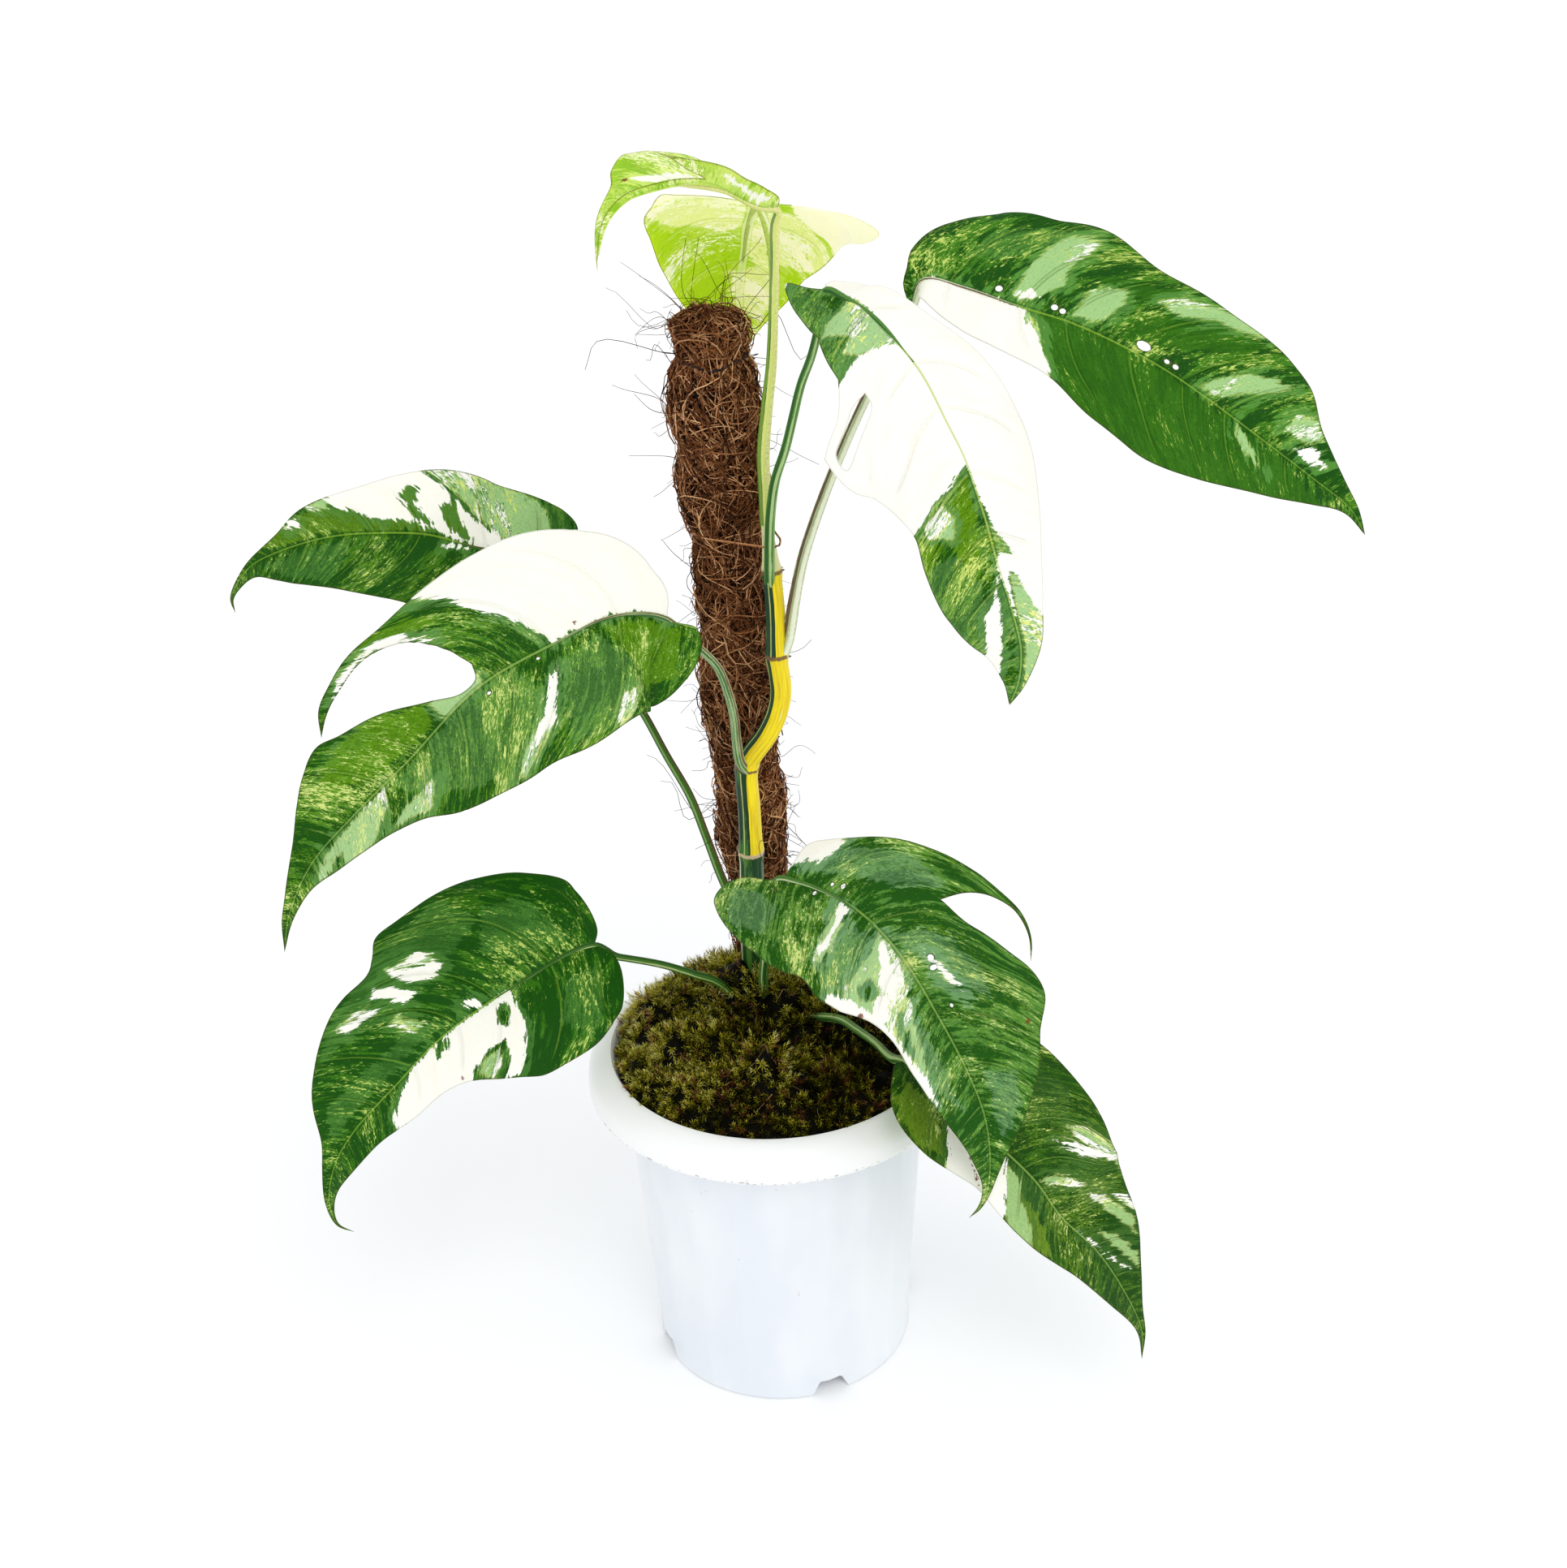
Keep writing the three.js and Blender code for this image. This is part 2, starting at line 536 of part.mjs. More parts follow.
    left: [[
      [-4, 3], [-9, 10], [-8, 20], [2, 31], [18, 38], [37, 41.5], [52, 41.5], [64, 38.5], [78, 34.5], [87, 33],
      [96, 29.5], [106, 23.5], [118, 16.5], [132, 9], [146, 3.5], [158, 1.5],
    ]],
    right: [[
      [-2, -4], [1, -10], [7, -18], [14, -23], [26, -25], [38, -22.5], [50, -20.5], [60, -21.5], [72, -21],
      [82, -19], [92, -16.5], [110, -13.5], [130, -9], [152, -3],
    ]],
  },
];

/**
 * The leaf's bend: turns a place in its flat outline into a place in the air. Each half is folded, curled
 * and raised in low waves that follow the side veins.
 */
class Bend {
  constructor(leaf) {
    this.curve = curveOf(leaf.midrib);
    this.curve.arcLengthDivisions = 400;
    this.length = this.curve.getLength();
    this.faces = vectors(leaf.face);
    this.fold = leaf.fold.map(THREE.MathUtils.degToRad);
    this.curl = leaf.curl.map((degrees) => THREE.MathUtils.degToRad(degrees) / CURL_SPAN);
  }

  /** The midrib's place, direction, upward normal and leftward side at a given distance along it. */
  frame(distance) {
    const t = THREE.MathUtils.clamp(distance / this.length, 0, 1);
    const forward = this.curve.getTangentAt(t);
    const place = this.curve.getPointAt(t).addScaledVector(forward, distance - t * this.length);
    const station = t * (this.faces.length - 1);
    const i = Math.min(Math.floor(station), this.faces.length - 2);
    const up = this.faces[i].clone().lerp(this.faces[i + 1], station - i);
    up.addScaledVector(forward, -up.dot(forward)).normalize();
    return { place, up, side: up.clone().cross(forward) };
  }

  point(distance, across) {
    const { place, up, side } = this.frame(distance);
    const half = across >= 0 ? 0 : 1;
    const reach = Math.abs(across);
    const fold = this.fold[half];
    const curl = this.curl[half] || 1e-9;
    const out = (Math.sin(fold + curl * reach) - Math.sin(fold)) / curl;
    const lift = (Math.cos(fold) - Math.cos(fold + curl * reach)) / curl;
    const wave = WAVE * (reach / CURL_SPAN) ** 1.4 * Math.sin((2 * Math.PI * (distance - reach * 0.7)) / WAVE_PITCH);
    return place.addScaledVector(side, Math.sign(across) * out).addScaledVector(up, lift + wave);
  }

  normal(distance, across) {
    const h = 1.5;
    const alongIt = this.point(distance + h, across).sub(this.point(distance - h, across));
    const acrossIt = this.point(distance, across + h).sub(this.point(distance, across - h));
    return alongIt.cross(acrossIt).normalize();
  }
}

/** One half's outline from base to tip, its runs drawn as curves that meet at corners. */
function halfOutline(runs, length) {
  const corners = [[0, 0], ...runs.slice(0, -1).map((run) => run.at(-1))];
  const outline = [];
  runs.forEach((run, i) => {
    const places = [corners[i], ...run];
    if (i === runs.length - 1) places.push([length, 0]);
    const curve = curveOf(places.map(([x, y]) => [x, y, 0]));
    const steps = Math.max(2, Math.round(curve.getLength() / EDGE_STEP));
    for (let k = 0; k < steps; k += 1) {
      const p = curve.getPointAt(k / steps);
      outline.push([p.x, p.y]);
    }
  });
  return outline;
}

/** The whole flat outline, anticlockwise: out along the right half, back along the left. */
function outlineOf(leaf, length) {
  const right = halfOutline(leaf.right, length);
  const left = halfOutline(leaf.left, length);
  return [...right, [length, 0], ...left.slice(1).reverse()];
}

function inside(loop, x, y) {
  let odd = false;
  for (let i = 0, j = loop.length - 1; i < loop.length; j = i, i += 1) {
    const [xi, yi] = loop[i];
    const [xj, yj] = loop[j];
    if (yi > y !== yj > y && x < xi + ((xj - xi) * (y - yi)) / (yj - yi)) odd = !odd;
  }
  return odd;
}

/** Delaunay triangles of flat points: the underside of the hull of their lift onto a paraboloid. */
function delaunay(points) {
  const scale = 0.01;
  const lifted = points.map(([x, y]) => new THREE.Vector3(x, y, (x * x + y * y) * scale));
  const numbers = new Map(lifted.map((p, i) => [p, i]));
  const hull = new ConvexHull().setFromPoints(lifted);
  return hull.faces.filter((face) => face.normal.z < -1e-9).map((face) => {
    const corners = [face.edge.prev, face.edge, face.edge.next].map((edge) => numbers.get(edge.head().point));
    return corners.reverse();
  });
}

/** Splits a flat region, a loop with loops cut out of it, into even triangles that keep every edge. */
function triangulate(loops, innerPoints) {
  const rings = loops.map((loop) => loop.slice());
  for (let pass = 0; pass < 8; pass += 1) {
    const points = [...rings.flat(), ...innerPoints];
    const triangles = delaunay(points).filter((corners) => {
      const x = corners.reduce((sum, i) => sum + points[i][0], 0) / 3;
      const y = corners.reduce((sum, i) => sum + points[i][1], 0) / 3;
      return rings.every((ring, i) => inside(ring, x, y) === (i === 0));
    });
    const edges = new Set(triangles.flatMap(([a, b, c]) => [`${a},${b}`, `${b},${c}`, `${c},${a}`]));
    let first = 0;
    let missing = 0;
    const walls = [];
    rings.forEach((ring, k) => {
      const finer = [];
      ring.forEach((point, i) => {
        const a = first + i;
        const b = first + ((i + 1) % ring.length);
        finer.push(point);
        const here = edges.has(`${a},${b}`) || edges.has(`${b},${a}`);
        walls.push(edges.has(`${a},${b}`) ? [a, b] : [b, a]);
        if (!here) {
          const next = ring[(i + 1) % ring.length];
          finer.push([(point[0] + next[0]) / 2, (point[1] + next[1]) / 2]);
          missing += 1;
        }
      });
      first += ring.length;
      rings[k] = finer;
    });
    if (!missing) return { points, triangles, walls };
  }
  throw new Error('an outline edge was never kept');
}

/** Points inside the outline: one row down the midrib and staggered rows beside it. */
function innerGrid(loops, length) {
  const far = (x, y, gap) => loops.flat().every(([px, py]) => Math.hypot(px - x, py - y) > gap);
  const kept = [];
  const add = (x, y, gap) => {
    if (loops.every((loop, i) => inside(loop, x, y) === (i === 0)) && far(x, y, gap)) kept.push([x, y]);
  };
  for (let x = INNER_STEP * 0.7; x < length; x += INNER_STEP * 0.8) add(x, 0, 2.5);
  const rows = Math.ceil(CURL_SPAN * 1.5 / INNER_STEP);
  for (let row = -rows; row <= rows; row += 1) {
    const shift = row % 2 ? INNER_STEP / 2 : 0.3;
    for (let x = -30 + shift; row && x < length; x += INNER_STEP) {
      add(x + 0.4 * Math.sin(x + row), row * INNER_STEP * 0.87, INNER_STEP * 0.5);
    }
  }
  return kept;
}

/** The blade: the outline's triangles bent into the air on two faces, with walls between them. */
function blade(leaf, bend) {
  const loops = [outlineOf(leaf, bend.length), ...(leaf.slots ?? [])];
  const { points, triangles, walls } = triangulate(loops, innerGrid(loops, bend.length));
  const faces = [0.5, -0.5].map((half) => points.map(([x, y]) => (
    bend.point(x, y).addScaledVector(bend.normal(x, y), half * BLADE))));
  const n = points.length;
  const under = triangles.map(([a, b, c]) => [c + n, b + n, a + n]);
  const sides = walls.flatMap(([a, b]) => [[b, a, a + n], [b, a + n, b + n]]);
  return meshGeometry(faces.flat(), [...triangles, ...under, ...sides]);
}

/** The petiole, carried on under the first part of the midrib as its raised rib. */
function petioleSolid(leaf, bend, grow) {
  const rib = [0, 9, 24, 44].map((distance) => {
    const { place, up } = bend.frame(distance);
    return place.addScaledVector(up, -0.5).toArray();
  });
  const places = [...leaf.stalk, ...rib];
  const whole = curveOf(places).getLength();
  const stalkShare = curveOf([...leaf.stalk, rib[0]]).getLength() / whole;
  const radius = (t) => (t < stalkShare
    ? along(leaf.girth, t / stalkShare)
    : THREE.MathUtils.lerp(along(leaf.girth, 1), 0.6, (t - stalkShare) / (1 - stalkShare)));
  return stalk(places, radius, 8, 10, grow);
}

function leafSolid(leaf, carrier) {
  const bend = new Bend(leaf);
  return solidOf(blade(leaf, bend)).add(solidOf(petioleSolid(leaf, bend, 0))).subtract(carrier);
}

// Filling

function pottingMix(holes) {
  const inner = (z) => wallRadius(z) - WALL - CLEAR;
  const body = turned([
    [0, FLOOR + CLEAR], [inner(FLOOR) - 2, FLOOR + CLEAR], [inner(FLOOR + 2), FLOOR + 2],
    [inner(128.8), 128.8], [MOSS_RADIUS - 1.8, MIX_TOP], [0, MIX_TOP],
  ], 40);
  return solidOf(body).subtract(holes);
}

/** Height of the moss: a mound that rises towards the back, covered in seeded tufts. */
function mossHeight(x, y, tufts) {
  const edge = Math.min(1, Math.hypot(x, y) / MOSS_RADIUS);
  const mound = 1 - edge ** 4;
  let height = MOSS_EDGE + MOSS_RISE * mound + (MOSS_CROWN - MOSS_RISE) * mound * THREE.MathUtils.smoothstep(y, -30, 45);
  for (const [tx, ty, spread, lift] of tufts) {
    const near = ((x - tx) ** 2 + (y - ty) ** 2) / spread ** 2;
    if (near < 4) height += lift * Math.exp(-near) * (1 - 0.6 * edge ** 6);
  }
  return height;
}

function mossCover(holes) {
  const random = seeded(5);
  const tufts = Array.from({ length: 170 }, () => {
    const radius = MOSS_RADIUS * Math.sqrt(random());
    const turn = 2 * Math.PI * random();
    const lift = TUFT * (0.35 + 0.65 * random()) * (random() < 0.35 ? -0.8 : 1);
    return [radius * Math.cos(turn), radius * Math.sin(turn), 3 + 3.5 * random(), lift];
  });
  const rings = 11;
  const sides = 36;
  const points = [new THREE.Vector3(0, 0, mossHeight(0, 0, tufts))];
  const triangles = [];
  for (let i = 1; i <= rings; i += 1) {
    for (let j = 0; j < sides; j += 1) {
      const turn = (2 * Math.PI * (j + 0.5 * (i % 2))) / sides;
      const radius = (MOSS_RADIUS * i) / rings;
      const x = radius * Math.cos(turn);
      const y = radius * Math.sin(turn);
      points.push(new THREE.Vector3(x, y, mossHeight(x, y, tufts)));
    }
  }
  const at = (i, j) => 1 + (i - 1) * sides + ((j + sides) % sides);
  for (let j = 0; j < sides; j += 1) {
    triangles.push([0, at(1, j), at(1, j + 1)]);
    for (let i = 1; i < rings; i += 1) {
      const lean = i % 2 ? 1 : 0;
      triangles.push([at(i, j), at(i + 1, j + lean), at(i, j + 1)]);
      triangles.push([at(i + 1, j + lean), at(i + 1, j + 1 + lean), at(i, j + 1)]);
    }
  }
  const base = points.length;
  for (let j = 0; j < sides; j += 1) {
    const rim = points[at(rings, j)];
    points.push(new THREE.Vector3(rim.x, rim.y, MIX_TOP + CLEAR));
  }
  points.push(new THREE.Vector3(0, 0, MIX_TOP + CLEAR));
  for (let j = 0; j < sides; j += 1) {
    const next = base + ((j + 1) % sides);
    triangles.push([at(rings, j), base + j, next], [at(rings, j), next, at(rings, j + 1)]);
    triangles.push([points.length - 1, next, base + j]);
  }
  return solidOf(meshGeometry(points, triangles)).subtract(holes);
}

// Assembly

function mesh(name, geometry, colour, roughness) {
  const material = new THREE.MeshStandardMaterial({ color: colour, roughness, metalness: 0, flatShading: true });
  const part = new THREE.Mesh(geometry, material);
  part.name = name;
  return part;
}

/** Where the stem's centre line passes a height, with the radius it has there. */
function stemAt(height) {
  const curve = curveOf(STEM);
  let t = 1;
  while (curve.getPointAt(t).z > height) t -= 0.002;
  return { place: curve.getPointAt(t), radius: stemRadius(t) };
}

function poleTie() {
  const { z, cord, sunk } = POLE_TIE;
  return geometryOf(solidOf(cordLoop(z, [circleOfPole(z, -sunk)], cord)).subtract(solidOf(poleSolid(CLEAR))));
}

function stemTie() {
  const { z, cord, slack } = STEM_TIE;
  const { place, radius } = stemAt(z);
  return cordLoop(z, [circleOfPole(z, slack), [place.x, place.y, radius + CLEAR]], cord);
}

const union = (solids) => solids.reduce((all, solid) => all.add(solid));

const carrier = union([solidOf(stemSolid(CLEAR)), solidOf(poleSolid(CLEAR))]);
const rooted = LEAVES.filter((leaf) => leaf.stalk[0][2] < MIX_TOP + MOSS_RISE);
const holes = union([
  solidOf(stemSolid(CLEAR)), solidOf(poleSolid(CLEAR)), solidOf(stakeSolid(CLEAR, POLE_FOOT.z + 1)),
  ...rooted.map((leaf) => solidOf(petioleSolid(leaf, new Bend(leaf), CLEAR))),
]);
const stake = stakeSolid(0, POLE_HEAD.z - 4);
const coir = solidOf(poleSolid(0)).subtract(solidOf(stakeSolid(CLEAR, POLE_HEAD.z - 4 + CLEAR)));

const plant = new THREE.Group();
plant.add(mesh('pot', pot(), 0xf1f3f6, 0.35));
plant.add(mesh('potting_mix', geometryOf(pottingMix(holes)), 0x2b1c12, 0.95));
plant.add(mesh('moss_cover', geometryOf(mossCover(holes)), 0x5a5a1c, 0.95));
plant.add(mesh('pole_stake', stake, 0x7a5a3a, 0.8));
plant.add(mesh('pole_coir', geometryOf(coir), 0x6a3c22, 0.95));
plant.add(mesh('stem', geometryOf(solidOf(stemSolid(0)).subtract(solidOf(poleSolid(CLEAR)))), 0xb0a020, 0.5));
plant.add(mesh('pole_tie', poleTie(), 0x2a2320, 0.8));
plant.add(mesh('stem_tie', stemTie(), 0x7a5233, 0.9));
for (const leaf of LEAVES) {
  plant.add(mesh(leaf.name, geometryOf(leafSolid(leaf, carrier)), leaf.colour, 0.4));
}

export default plant;
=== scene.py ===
"""The looks of the potted variegated dragon tail plant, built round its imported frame.

Lengths in this file are millimetres until a mesh is made, and colours are sRGB from 0 to 255.
"""
import math

import bpy
import numpy as np
from mathutils import Matrix, Vector
from mathutils.geometry import delaunay_2d_cdt


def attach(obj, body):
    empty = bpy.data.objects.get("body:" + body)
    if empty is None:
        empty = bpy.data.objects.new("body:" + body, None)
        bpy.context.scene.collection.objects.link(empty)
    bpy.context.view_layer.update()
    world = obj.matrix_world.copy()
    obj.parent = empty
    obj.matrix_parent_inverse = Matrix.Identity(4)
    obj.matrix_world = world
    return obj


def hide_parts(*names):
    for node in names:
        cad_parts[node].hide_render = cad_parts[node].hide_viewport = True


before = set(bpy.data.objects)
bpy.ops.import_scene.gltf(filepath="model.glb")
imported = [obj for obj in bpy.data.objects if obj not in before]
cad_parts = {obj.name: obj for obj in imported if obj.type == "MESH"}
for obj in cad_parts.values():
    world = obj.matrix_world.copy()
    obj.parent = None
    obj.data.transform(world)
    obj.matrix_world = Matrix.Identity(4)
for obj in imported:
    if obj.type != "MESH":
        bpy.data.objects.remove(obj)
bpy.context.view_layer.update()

MM = 0.001
BODY = "root"
FULL_TURN = 2 * math.pi

# The camera, fitted to the photo's pot rim, pot foot and pole
CAMERA_AT = (7.73, -812.28, 697.18)
CAMERA_PITCH = 28.37
CAMERA_ROLL = -2.13
FOCAL_PX = 3000
LONG_SIDE_PX = 1932
SENSOR = 36
NEAREST, FARTHEST = 0.05, 50


def make_camera():
    pitch, roll = math.radians(CAMERA_PITCH), math.radians(CAMERA_ROLL)
    forward = Vector((0, math.cos(pitch), -math.sin(pitch)))
    level_right = Vector((1, 0, 0))
    level_up = level_right.cross(forward)
    right = level_right * math.cos(roll) + level_up * math.sin(roll)
    up = level_up * math.cos(roll) - level_right * math.sin(roll)
    turn = Matrix((right, up, -forward)).transposed().to_4x4()
    data = bpy.data.cameras.new("camera")
    data.sensor_width = SENSOR
    data.lens = SENSOR * FOCAL_PX / LONG_SIDE_PX
    data.clip_start, data.clip_end = NEAREST, FARTHEST
    camera = bpy.data.objects.new("camera", data)
    bpy.context.collection.objects.link(camera)
    camera.matrix_world = Matrix.Translation(Vector(CAMERA_AT) * MM) @ turn
    bpy.context.scene.camera = camera


# Materials

def linear(colour):
    """An sRGB colour from 0 to 255 as the linear RGBA that Blender's sockets take."""
    parts = [c / 255 for c in colour]
    return [c / 12.92 if c <= 0.04045 else ((c + 0.055) / 1.055) ** 2.4 for c in parts] + [1]


class Shader:
    """A principled material and short ways to add nodes to it, most of which return an output socket."""

    def __init__(self, name, roughness, specular):
        self.material = bpy.data.materials.new(name)
        self.material.use_nodes = True
        self.tree = self.material.node_tree
        self.surface = self.tree.nodes["Principled BSDF"]
        self.set("Roughness", roughness)
        self.set("Specular IOR Level", specular)

    def set(self, socket, value):
        if isinstance(value, bpy.types.NodeSocket):
            self.tree.links.new(value, self.surface.inputs[socket])
        else:
            self.surface.inputs[socket].default_value = value

    def soak(self, weight, depth, radius=(1, 1, 0.5)):
        """Lets light into the surface, to come out again about that depth away, in metres."""
        self.set("Subsurface Weight", weight)
        self.set("Subsurface Radius", radius)
        self.set("Subsurface Scale", depth)

    def node(self, kind, inputs, **settings):
        made = self.tree.nodes.new(kind)
        for key, value in settings.items():
            setattr(made, key, value)
        for key, value in inputs.items():
            if isinstance(value, bpy.types.NodeSocket):
                self.tree.links.new(value, made.inputs[key])
            elif value is not None:
                made.inputs[key].default_value = value
        return made

    def attribute(self, name, output="Vector"):
        return self.node("ShaderNodeAttribute", {}, attribute_name=name).outputs[output]

    def place(self):
        return self.node("ShaderNodeTexCoord", {}).outputs["Object"]

    def parts(self, vector):
        return self.node("ShaderNodeSeparateXYZ", {0: vector}).outputs

    def math(self, operation, a, b=None, c=None):
        return self.node("ShaderNodeMath", {0: a, 1: b, 2: c}, operation=operation).outputs[0]

    def times(self, a, b):
        return self.math("MULTIPLY", a, b)

    def plus(self, a, b):
        return self.math("ADD", a, b)

    def minus(self, a, b):
        return self.math("SUBTRACT", a, b)

    def times_plus(self, a, b, c):
        return self.math("MULTIPLY_ADD", a, b, c)

    def stirred(self, value, noise, amount):
        """The value moved up and down by the noise, by half the amount each way at most."""
        return self.times_plus(self.minus(noise, 0.5), amount, value)

    def step(self, value, low, high):
        """0 where value is under low, 1 where it is over high, smooth in between."""
        made = self.node("ShaderNodeMapRange", {0: value, 1: low, 2: high}, interpolation_type="SMOOTHSTEP")
        return made.outputs[0]

    def near(self, value, centre, out, full):
        """1 where value is less than full from the centre, 0 where it is more than out from it."""
        return self.step(self.math("ABSOLUTE", self.minus(value, centre)), out, full)

    def noise(self, place, scale, shift=(0, 0, 0), detail=3, rough=0.55, bend=0.0):
        """Noise about 0.5, with a scale for each axis."""
        mapping = {"Vector": place, "Scale": scale, "Location": shift}
        mapped = self.node("ShaderNodeMapping", mapping).outputs[0]
        inputs = {"Vector": mapped, "Scale": 1.0, "Detail": detail, "Roughness": rough, "Distortion": bend}
        return self.node("ShaderNodeTexNoise", inputs).outputs[0]

    def mix(self, factor, a, b):
        a, b = (c if isinstance(c, bpy.types.NodeSocket) else linear(c) for c in (a, b))
        return self.node("ShaderNodeMix", {0: factor, 6: a, 7: b}, data_type="RGBA").outputs[2]

    def over(self, under, colour, share, strength):
        """The colour laid at that strength over what is under it, by share."""
        return self.mix(self.times(share, strength), under, colour)

    def ramp(self, factor, *stops):
        made = self.node("ShaderNodeValToRGB", {0: factor})
        elements = made.color_ramp.elements
        while len(elements) < len(stops):
            elements.new(1)
        for element, (at, colour) in zip(elements, stops):
            element.position, element.color = at, linear(colour)
        return made.outputs[0]

    def bump(self, height, distance, strength, under=None):
        """Relief of that height in metres, on top of the relief under it."""
        inputs = {"Height": height, "Distance": distance, "Strength": strength, "Normal": under}
        return self.node("ShaderNodeBump", inputs).outputs[0]

    def finish(self, colour, normal=None, roughness=None):
        self.set("Base Color", colour)
        if normal is not None:
            self.set("Normal", normal)
        if roughness is not None:
            self.set("Roughness", roughness)
        return self.material


# Meshes

def make_piece(name, points, faces, material, nodes=(), sharp=None, attributes=None):
    """A closed mesh from points in mm, with its per-point attributes, placed on the frame's body."""
    mesh = bpy.data.meshes.new(name)
    mesh.from_pydata((np.asarray(points, float) * MM).tolist(), [], [list(map(int, f)) for f in faces])
    for key, values in (attributes or {}).items():
        values = np.asarray(values, np.float32)
        kind = "FLOAT" if values.ndim == 1 else "FLOAT_VECTOR"
        layer = mesh.attributes.new(key, kind, "POINT")
        layer.data.foreach_set("value" if values.ndim == 1 else "vector", values.ravel())
    mesh.validate()
    mesh.shade_smooth()
    if sharp is not None:
        mesh.set_sharp_from_angle(angle=math.radians(sharp))
    mesh.materials.append(material)
    piece = bpy.data.objects.new(name, mesh)
    bpy.context.collection.objects.link(piece)
    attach(piece, BODY)
    if nodes:
        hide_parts(*nodes)
    return piece


def turns_of(count):
    """Even turns round a circle, from 0."""
    return np.arange(count) * FULL_TURN / count


def table(stations):
    """A list of (at, value) stations as the two rows that interp takes."""
    return [at for at, _ in stations], [value for _, value in stations]


def unit(vectors):
    return vectors / np.maximum(np.linalg.norm(vectors, axis=-1, keepdims=True), 1e-12)


def smooth(value, low, high):
    t = np.clip((value - low) / (high - low), 0, 1)
    return t * t * (3 - 2 * t)


def bell(value, width):
    """1 at 0, falling off to both sides."""
    return np.exp(-(value / width) ** 2)


def catmull(points, per_span=14):
    """The centripetal curve through the points, as a close row of places."""
    given = np.array(points, float)
    ends = np.vstack([2 * given[0] - given[1], given, 2 * given[-1] - given[-2]])
    row = []
    for i in range(len(given) - 1):
        p0, p1, p2, p3 = ends[i:i + 4]
        t0, t1, t2 = (max(np.sum((b - a) ** 2) ** 0.25, 1e-4) for a, b in ((p0, p1), (p1, p2), (p2, p3)))
        m1 = ((p1 - p0) / t0 - (p2 - p0) / (t0 + t1) + (p2 - p1) / t1) * t1
        m2 = ((p2 - p1) / t1 - (p3 - p1) / (t1 + t2) + (p3 - p2) / t2) * t1
        s = np.linspace(0, 1, per_span, endpoint=False)[:, None]
        row.append((2 * s ** 3 - 3 * s ** 2 + 1) * p1 + (s ** 3 - 2 * s ** 2 + s) * m1
                   + (3 * s ** 2 - 2 * s ** 3) * p2 + (s ** 3 - s ** 2) * m2)
    return np.vstack([*row, given[-1:]])


def evenly(points, step):
    """The curve through the points, as places about one step apart, with its length."""
    row = catmull(points)
    reach = np.concatenate([[0], np.cumsum(np.linalg.norm(np.diff(row, axis=0), axis=1))])
    count = max(2, round(reach[-1] / step)) + 1
    at = np.linspace(0, reach[-1], count)
    return np.stack([np.interp(at, reach, row[:, k]) for k in range(row.shape[1])], 1), reach[-1]


def carried_sides(row, first):
    """Sideways directions along a row of places: the first is given, the rest turn no more than needed."""
    along = unit(np.gradient(row, axis=0))
    sides = []
    side = np.array(first, float)
    for tangent in along:
        side = unit(side - tangent * (side @ tangent))
        sides.append(side)
    sides = np.array(sides)
    return sides, np.cross(along, sides)


def rings(rows, sides, looped=False):
    """The faces between rings of points. Open ones end in fans round the two points that follow the rings."""
    faces = []
    for i in range(rows if looped else rows - 1):
        low, high = i * sides, (i + 1) % rows * sides
        faces += [(low + j, low + (j + 1) % sides, high + (j + 1) % sides, high + j) for j in range(sides)]
    if not looped:
        foot, last = rows * sides, (rows - 1) * sides
        for j in range(sides):
            k = (j + 1) % sides
            faces += [(foot, k, j), (foot + 1, last + j, last + k)]
    return faces


def tube(places, radius, sides, step, facing=(0, 0, 1), section=None):
    """A round stalk along the places: its points, faces, and each point's way along it in mm, share and turn.

    radius gives its radius by the share of its length, and section scales it by the turn round it, where 0
    is the side that faces the given way.
    """
    row, length = evenly(places, step)
    normals, binormals = carried_sides(row, facing)
    share = np.linspace(0, 1, len(row))
    turn = turns_of(sides)
    reach = np.array([radius(s) for s in share])[:, None] * np.ones(sides)
    if section is not None:
        reach = reach * section(share[:, None], turn[None, :])
    ring = (reach[..., None] * (np.cos(turn)[None, :, None] * normals[:, None]
                                + np.sin(turn)[None, :, None] * binormals[:, None]))
    points = np.vstack([(row[:, None] + ring).reshape(-1, 3), row[:1], row[-1:]])
    where = [share[:, None] * length, share[:, None], turn[None, :] / FULL_TURN]
    where = np.stack(np.broadcast_arrays(*where), 2)
    where = np.vstack([where.reshape(-1, 3), [[0, 0, 0.5]], [[length, 1, 0.5]]])
    return points, rings(len(row), sides), where


HAIR_SIDES = 3
STEEP = 0.8


def hairs(paths, radii):
    """Many thin strands at once: paths is strands x places x 3, radii is strands x places."""
    count, places, _ = paths.shape
    sides = HAIR_SIDES
    along = unit(np.gradient(paths, axis=1))
    lean = np.where(np.abs(along[..., 2:3]) > STEEP, np.array([1.0, 0, 0]), np.array([0, 0, 1.0]))
    normals = unit(np.cross(along, lean))
    binormals = np.cross(along, normals)
    turn = turns_of(sides)
    ring = (np.cos(turn)[:, None] * normals[:, :, None] + np.sin(turn)[:, None] * binormals[:, :, None])
    points = (paths[:, :, None] + radii[:, :, None, None] * ring).reshape(-1, 3)
    first = (np.arange(count) * places * sides)[:, None, None, None]
    i = (np.arange(places - 1) * sides)[None, :, None, None]
    j = np.arange(sides)[None, None, :, None]
    k = (j + 1) % sides
    quads = np.concatenate([first + i + j, first + i + k, first + i + k + sides, first + i + j + sides], 3)
    faces = quads.reshape(-1, 4).tolist()
    caps = (np.arange(count) * places * sides)[:, None]
    end = (places - 1) * sides
    faces += (caps + np.arange(sides)[::-1]).tolist()
    faces += (caps + end + np.arange(sides)).tolist()
    return points, faces


